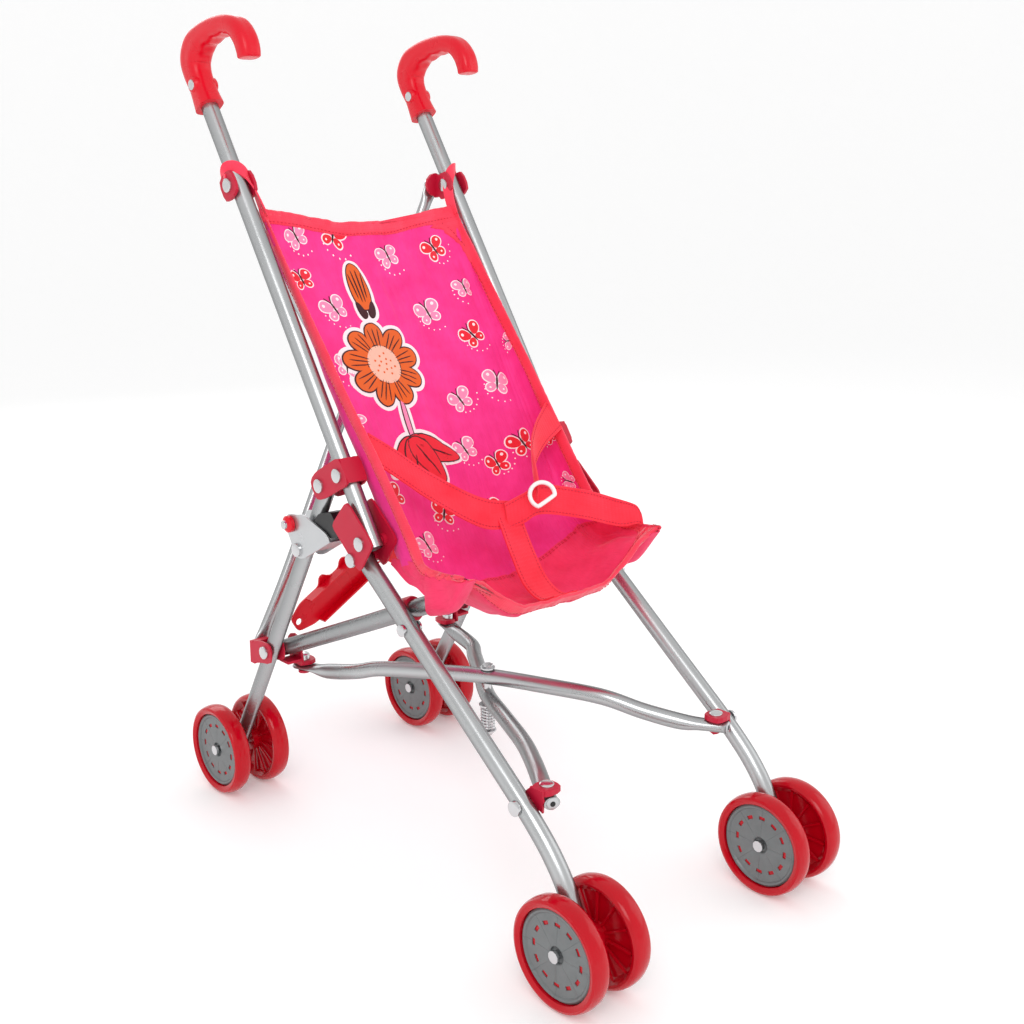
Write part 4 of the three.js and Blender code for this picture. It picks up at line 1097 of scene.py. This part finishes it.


# Butterflies as (x, z, size, tilt, red or pink, start of the trail), scattered over the sling.
BUTTERFLIES = [
    (-62, 425, 0.85, 0.5, "print_pink", 3.6), (-30, 424, 1.0, -0.3, "print_red", 3.4),
    (-70, 396, 0.85, 0.2, "print_red", 2.0), (-52, 376, 1.0, 0.35, "print_pink", 3.3),
    (12, 408, 0.9, 0.3, "print_pink", 3.5), (58, 412, 1.0, 0.4, "print_red", 4.4),
    (-60, 338, 0.9, -0.3, "print_pink", 2.4), (30, 368, 1.0, 0.25, "print_pink", 3.4),
    (62, 352, 1.0, 0.5, "print_red", 3.6), (70, 384, 0.8, 0.1, "print_pink", 2.6),
    (66, 316, 1.0, -0.35, "print_pink", 3.1), (32, 308, 0.9, 0.4, "print_pink", 4.5),
    (68, 276, 1.0, 0.3, "print_red", 4.3), (-72, 306, 0.7, -0.2, "print_pink", 2.2),
    (20, 274, 0.9, 0.3, "print_pink", 3.6), (44, 262, 0.9, 0.25, "print_red", 5.0),
    (-58, 254, 0.95, 0.5, "print_red", 2.0), (-16, 236, 0.95, -0.4, "print_red", 3.2),
    (24, 232, 1.0, 0.1, "print_red", 3.5), (-42, 222, 0.9, 0.35, "print_pink", 3.7),
    (64, 236, 0.9, -0.2, "print_pink", 4.0),
]


# ---------------------------------------------------------------- seat, harness and small fabric parts
# Straps as pairs of edge points, upper edge first.
STRAPS = {
    "left": [
        ((-81.5, 28, 303), (-81.5, 16, 283)), ((-66, 19, 291), (-67, 7, 270)),
        ((-50, 8, 277), (-52, -4, 257)), ((-22, -14, 258), (-24, -20, 238)),
        ((3, -22, 252), (0, -24, 234)),
    ],
    "right": [
        ((-6, -22.4, 252), (-4, -24.4, 234)), ((8, -25, 257), (8, -27, 237)),
        ((22, -30, 262), (20, -32, 242)), ((48, -44, 257), (46, -46, 237)),
        ((70, -54, 249), (72, -56, 229)), ((83, -57.5, 244), (83, -61.5, 230)),
        ((87.6, -59, 240.5), (87, -62.6, 229.6)), ((89.4, -61, 235), (88.6, -63.4, 229.4)),
    ],
    "right_shoulder": [
        ((83.5, 31, 305), (83.0, 13, 288)), ((62, 19, 294), (58, 5, 279)),
        ((40, 0, 284), (36, -8, 270)), ((27, -18, 273), (22, -23, 260)),
        ((19, -30, 263), (15, -33, 252)),
    ],
    "crotch": [
        ((-11, -20.6, 243), (9, -21.4, 243)), ((-11, -34, 220), (10, -34, 220)),
        ((-11, -47, 202), (11, -47, 202)), ((-10, -61, 194.6), (12, -61, 194.6)),
        ((-9, -73.5, 199), (13, -73.5, 199)),
    ],
}
RING = (16.0, -36.0, 257.0)
RING_AXIS = (-0.5, -0.78, 0.38)


def flat_size(grid):
    """Greatest width and length of a front face grid, in metres, and its area in square metres."""
    wide = np.linalg.norm(np.diff(grid, axis=1), axis=2).sum(axis=1)
    long = np.linalg.norm(np.diff(grid, axis=0), axis=2).sum(axis=0)
    across, down = np.diff(grid, axis=1)[:-1], np.diff(grid, axis=0)[:, :-1]
    area = np.linalg.norm(np.cross(across, down), axis=2).sum()
    return wide.max() * 0.001, long.max() * 0.001, area * 1e-6


def declare(made, grid):
    width, length, area = flat_size(grid)


def fold_with_frame(pieces):
    for made in pieces:
        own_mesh(made)


def straps():
    """Webbing with doubled edges, and a row of stitching near each edge."""
    made, threads = [], Batch()
    for name, pairs in STRAPS.items():
        grid = ribbon_grid(pairs, 70, 11)
        t = np.linspace(-1, 1, 11)
        steps = np.linspace(0, 1, 70)
        bow = 0.5 * (1 - t[None, :] ** 2) * np.sin(steps[:, None] * 7) + 0.25 * np.abs(t[None, :]) ** 3
        facing = front_normals(grid)
        if facing[35, 5, 1] > 0:
            grid = grid[:, ::-1]
            facing = front_normals(grid)
        grid = grid + facing * bow[:, :, None]
        strap = thick_sheet(f"harness_{name}_strap", grid, WEBBING_THICKNESS, "red_webbing", "left_frame")
        for column in (1, 9):
            stitch_run(threads, grid[:, column] + facing[:, column] * 0.1, facing[:, column], 2.4, 0.7)
        made.append((strap, grid))
    return made, threads


def loop_over_handle(side, sign):
    """The tape that ties the top corner of the seat over the handle at the top bracket."""
    middle = [(7.4, 156.6, 463.0), (7.3, 157.2, 467.0), (6.0, 155.0, 470.8), (2.8, 152.4, 471.6),
              (-1.2, 150.4, 469.4), (-5.0, 148.6, 464.4), (-7.6, 146.2, 457.0), (-9.0, 142.6, 449.0),
              (-9.8, 139.0, 442.5), (-10.6, 135.5, 437.0)]
    middle = smoothed(middle, 44)
    run = np.gradient(middle, axis=0)
    run /= np.linalg.norm(run, axis=1)[:, None]
    centre_y = HANDLE_LOW[0] + (middle[:, 2] - HANDLE_LOW[1]) / HANDLE_DIR[1] * HANDLE_DIR[0]
    out = np.column_stack([middle[:, 0], (middle[:, 1] - centre_y), np.zeros(len(middle))])
    out /= np.maximum(np.linalg.norm(out, axis=1)[:, None], 1e-6)
    width = np.cross(run, out)
    width /= np.linalg.norm(width, axis=1)[:, None]
    t = np.linspace(-4.0, 4.0, 7)
    grid = middle[:, None] + width[:, None] * t[None, :, None]
    grid[:, :, 0] = sign * (LEG_X + grid[:, :, 0])
    if sign < 0:
        grid = grid[:, ::-1]
    return thick_sheet(f"{side}_handle_tape", grid, WEBBING_THICKNESS, "binding", f"{side}_frame"), grid


def side_pocket(side, sign):
    """The sleeve of plain cloth that hangs from the seat's side edge and holds the end of the rail."""
    rows = []
    for t in np.linspace(0, 1, 34):
        y = -41.0 - 38.0 * t
        rail_z = 198.6 + (214.7 - 198.6) * (min(-y, 74) - 30) / 41
        top = np.interp(-y, [14, 30, 42, 56, 68, 77], [222.5, 227.0, 227.8, 228.0, 228.8, 229.4])
        top_x = np.interp(-y, [14, 30, 42, 56, 68, 77], [84.0, 86.5, 88.7, 89.7, 90.1, 90.1])
        low = rail_z - 7.6 - 0.8 * math.sin(t * 5)
        middle = 90.6 + 0.9 * math.sin(t * 9)
        section = [(top_x, top), (90.4, top - 4), (middle + 0.6, (top + rail_z) / 2), (middle, rail_z - 1),
                   (89.6, rail_z - 5), (86.6, low), (82.0, low - 0.6), (77.8, low + 1.2),
                   (75.4, rail_z - 3), (75.0, rail_z + 3)]
        pinch = max(0.0, (t - 0.5) / 0.5) ** 1.6
        rows.append([(sign * (x + (top_x - 4 - x) * 0.5 * pinch), y, z + (top - 1.5 - z) * 0.93 * pinch)
                     for x, z in section])
    grid = refined(np.array(rows, float), 1)
    grid = np.stack([smoothed(row, 46) for row in grid])
    if sign > 0:
        grid = grid[:, ::-1]
    if front_normals(grid)[10, 10 if sign < 0 else -10, 0] * sign < 0:
        grid = grid[::-1]
    return thick_sheet(f"{side}_rail_sleeve", grid, CLOTH_THICKNESS, "plain_cloth", "left_frame"), grid


def side_gusset(side, sign):
    """The plain cloth between the seat's side edge and the rail, tapering back to the hinge."""
    rows = []
    for t in np.linspace(0, 1, 24):
        y = 2.0 - 45.0 * t
        top = np.interp(-y, [-2, 14, 30, 43], [223.5, 225.5, 227.5, 228.0])
        top_x = np.interp(-y, [-2, 14, 30, 43], [83.0, 84.4, 86.9, 88.9])
        low = np.interp(-y, [-2, 20, 43], [219.5, 212.0, 209.5]) + 0.6 * math.sin(t * 11)
        out = np.interp(t, [0, 1], [84.6, 90.2]) + 0.5 * math.sin(t * 8)
        rows.append([(sign * (top_x + (out - top_x) * k), y, top + (low - top) * k)
                     for k in np.linspace(0, 1, 7)])
    grid = np.array(rows, float)
    if front_normals(grid)[10, 3, 0] * sign < 0:
        grid = grid[:, ::-1]
    return thick_sheet(f"{side}_seat_gusset", grid, CLOTH_THICKNESS, "plain_cloth", "left_frame"), grid


def ring():
    """The white plastic ring on the harness, with its flat bar."""
    turn = Vector((0, 0, 1)).rotation_difference(Vector(RING_AXIS)).to_matrix()
    path = []
    for k in range(61):
        a = 2 * math.pi * k / 60
        flat = 1.0 if math.sin(a) > -0.55 else 0.62 / max(-math.sin(a) + 0.07, 0.3)
        p = turn @ Vector((8.6 * math.cos(a), 8.6 * math.sin(a) * min(flat, 1.0), 0))
        path.append([RING[0] + p.x, RING[1] + p.y, RING[2] + p.z, 1.5, 1.5])
    path = np.array(path)[:60]
    rings = tube_points(path, tuple(turn @ Vector((0, 0, 1))), 14)
    faces = ring_faces(60, 14, True)
    return place("harness_ring_skin", rings.reshape(-1, 3), faces, "white_plastic", "left_frame")


def fabric():
    coarse = refined(control_grid(), 6)
    coarse = settled(coarse)
    fine = np.stack([smoothed(row, 10 * CELLS + 1) for row in coarse])
    fine = np.stack([smoothed(fine[:, k], 10 * CELLS + 1) for k in range(fine.shape[1])], axis=1)
    surface = Surface(creases(fine))

    sling = thick_sheet("seat_sling_cloth", surface.grid, CLOTH_THICKNESS, "pink_cloth", "left_frame",
                        "plain_cloth", int(FOLD_ROW * CELLS))
    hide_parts("seat_sling")
    steps = np.linspace(0.0, 1.0, 160)
    edges = (
        ("top_hem", [(0, 0.05 + 9.9 * t) for t in steps], (1, 0), 10.5),
        ("front_hem", [(9.999, 0.05 + 9.9 * t) for t in steps], (-1, 0), 9.0),
        ("left_edge", [(9.95 * t, 0) for t in steps], (0, 1), 9.0),
        ("right_edge", [(9.95 * t, 9.999) for t in steps], (0, -1), 9.0),
    )
    tapes = [tape_section(surface, places, inward, f"{name}_tape", width, "left_frame")
             for name, places, inward, width in edges]
    threads = Batch()
    for lift in (0.9, -1.65):
        for spot, inward, width in ((0, 1, 9.2), (9.999, -1, 7.8)):
            hem = [(spot + inward * surface.steps(spot, 10 * t)[0] * width, 1.2 + 7.6 * t) for t in steps]
            stitch_line(threads, surface, hem, lift)
            down = 0.35 + 9.3 * steps
            side = [(row, spot + inward * surface.steps(row, spot)[1] * 7.6) for row in down]
            stitch_line(threads, surface, side, lift)
    stitch_line(threads, surface, [(FOLD_ROW, 0.3 + 9.4 * t) for t in steps], 0.1)
    stitch_line(threads, surface, [(FOLD_ROW + 0.06, 0.3 + 9.4 * t) for t in steps], 0.1)

    printer = Printer(surface)
    flower(printer)
    for x, z, size, tilt, fill, trail in BUTTERFLIES:
        butterfly(printer, surface.find(x, z), size, tilt, fill, trail)
    for side in (-1, 1):
        for v, tilt, fill in ((2.6, 1.3, "print_pink"), (4.1, 1.6, "print_red"), (4.9, 1.2, "print_pink")):
            butterfly(printer, (v, 5 + side * 4.45), 0.62, side * tilt, fill, 2.0)
    prints = printer.finish("left_frame")

    belts, belt_threads = straps()
    sewn = [threads.make("seat_stitching", "thread", "left_frame"),
            belt_threads.make("harness_stitching", "thread", "left_frame")]
    buckle = ring()
    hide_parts("harness")
    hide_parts("harness_ring")
    sleeves = [make(side, sign) for side, sign in SIDES.items() for make in (side_pocket, side_gusset)]
    loops = [loop_over_handle(side, sign) for side, sign in SIDES.items()]

    fold_with_frame([sling, *tapes, *prints, *sewn, buckle] + [b for b, _ in belts] + [s for s, _ in sleeves])
    declare(sling, surface.grid)
    for k, (belt, grid) in enumerate(belts):
        declare(belt, grid)
    for sleeve, grid in sleeves:
        declare(sleeve, grid)


# ---------------------------------------------------------------- camera, light and floor
def area_light(name, at, target, size, power):
    lamp = bpy.data.lights.new(name, "AREA")
    lamp.shape = "RECTANGLE"
    lamp.size, lamp.size_y = size
    lamp.energy = power
    made = bpy.data.objects.new(name, lamp)
    made.location = at
    made.rotation_euler = (Vector(target) - Vector(at)).to_track_quat("-Z", "Y").to_euler()
    bpy.context.scene.collection.objects.link(made)


def backdrop():
    """A pale floor that curves up far from the object on every side."""
    profile = [(0.0, 0.0), (1.0, 0.0), (2.5, 0.0), (4.0, 0.0)]
    profile += [(4.0 + 2.5 * math.sin(a), 2.5 - 2.5 * math.cos(a)) for a in np.linspace(0.1, 1.35, 14)]
    count = 72
    angle = np.linspace(0, 2 * math.pi, count, endpoint=False)
    points = [(r * math.cos(a), r * math.sin(a), z) for r, z in profile[1:] for a in angle] + [(0, 0, 0)]
    last = len(points) - 1
    faces = [(last, j, (j + 1) % count) for j in range(count)]
    for i in range(len(profile) - 2):
        a, b = i * count, (i + 1) * count
        faces += [(a + j, b + j, b + (j + 1) % count, a + (j + 1) % count) for j in range(count)]
    mesh = bpy.data.meshes.new("floor")
    mesh.from_pydata(points, [], faces)
    mesh.polygons.foreach_set("use_smooth", [True] * len(mesh.polygons))
    made = bpy.data.objects.new("floor", mesh)
    bpy.context.scene.collection.objects.link(made)
    return made


CAMERA_AT = (-0.583, -0.6565, 0.466)
CAMERA_TURN = (0.744, 0.251, 0.004)  # yaw from +Y towards +X, pitch down and roll, in radians
CAMERA_LENS = 46.07  # on a 36 mm wide sensor


def studio():
    scene = bpy.context.scene
    lens = bpy.data.cameras.new("camera")
    lens.lens = CAMERA_LENS
    lens.sensor_width = 36.0
    made = bpy.data.objects.new("camera", lens)
    yaw, pitch, roll = CAMERA_TURN
    forward = Vector((math.sin(yaw) * math.cos(pitch), math.cos(yaw) * math.cos(pitch), -math.sin(pitch)))
    right = Vector((math.cos(yaw), -math.sin(yaw), 0))
    up = right.cross(forward)
    turned = Matrix((right, up, -forward)).transposed() @ Matrix.Rotation(roll, 3, "Z")
    made.matrix_world = Matrix.Translation(CAMERA_AT) @ turned.to_4x4()
    scene.collection.objects.link(made)
    scene.camera = made

    world = bpy.data.worlds.new("studio")
    world.use_nodes = True
    world.node_tree.nodes["Background"].inputs["Color"].default_value = (1, 1, 1, 1)
    world.node_tree.nodes["Background"].inputs["Strength"].default_value = 0.85
    scene.world = world
    scene.view_settings.view_transform = "Standard"

    centre = (0, 0, 0.25)
    area_light("key", (-1.1, -1.2, 1.5), centre, (1.0, 1.0), 11)
    area_light("fill", (1.4, -0.9, 0.9), centre, (1.2, 1.2), 4)
    area_light("rim", (0.4, 1.5, 1.1), centre, (1.0, 0.8), 5)

    floor = backdrop()
    made, nodes, links, shader = new_material("floor_paper")
    coords = nodes.new("ShaderNodeTexCoord").outputs["Object"]
    grain = noise(nodes, links, coords, 300.0)
    paper = mix_colour(nodes, links, grain, (0.9, 0.9, 0.9), (0.93, 0.93, 0.93))
    links.new(paper, shader.inputs["Base Color"])
    shader.inputs["Roughness"].default_value = 0.9
    shader.inputs["Emission Color"].default_value = (1, 1, 1, 1)
    shader.inputs["Emission Strength"].default_value = 0.15
    floor.data.materials.append(made)


# ---------------------------------------------------------------- build
def build():
    for side, sign in SIDES.items():
        side_tubes(side, sign)
        collar(side, sign)
        grip(side, sign)
    wheels()
    crossed_tubes()
    rivets()
    cad_nodes()
    fabric()
    studio()


build()
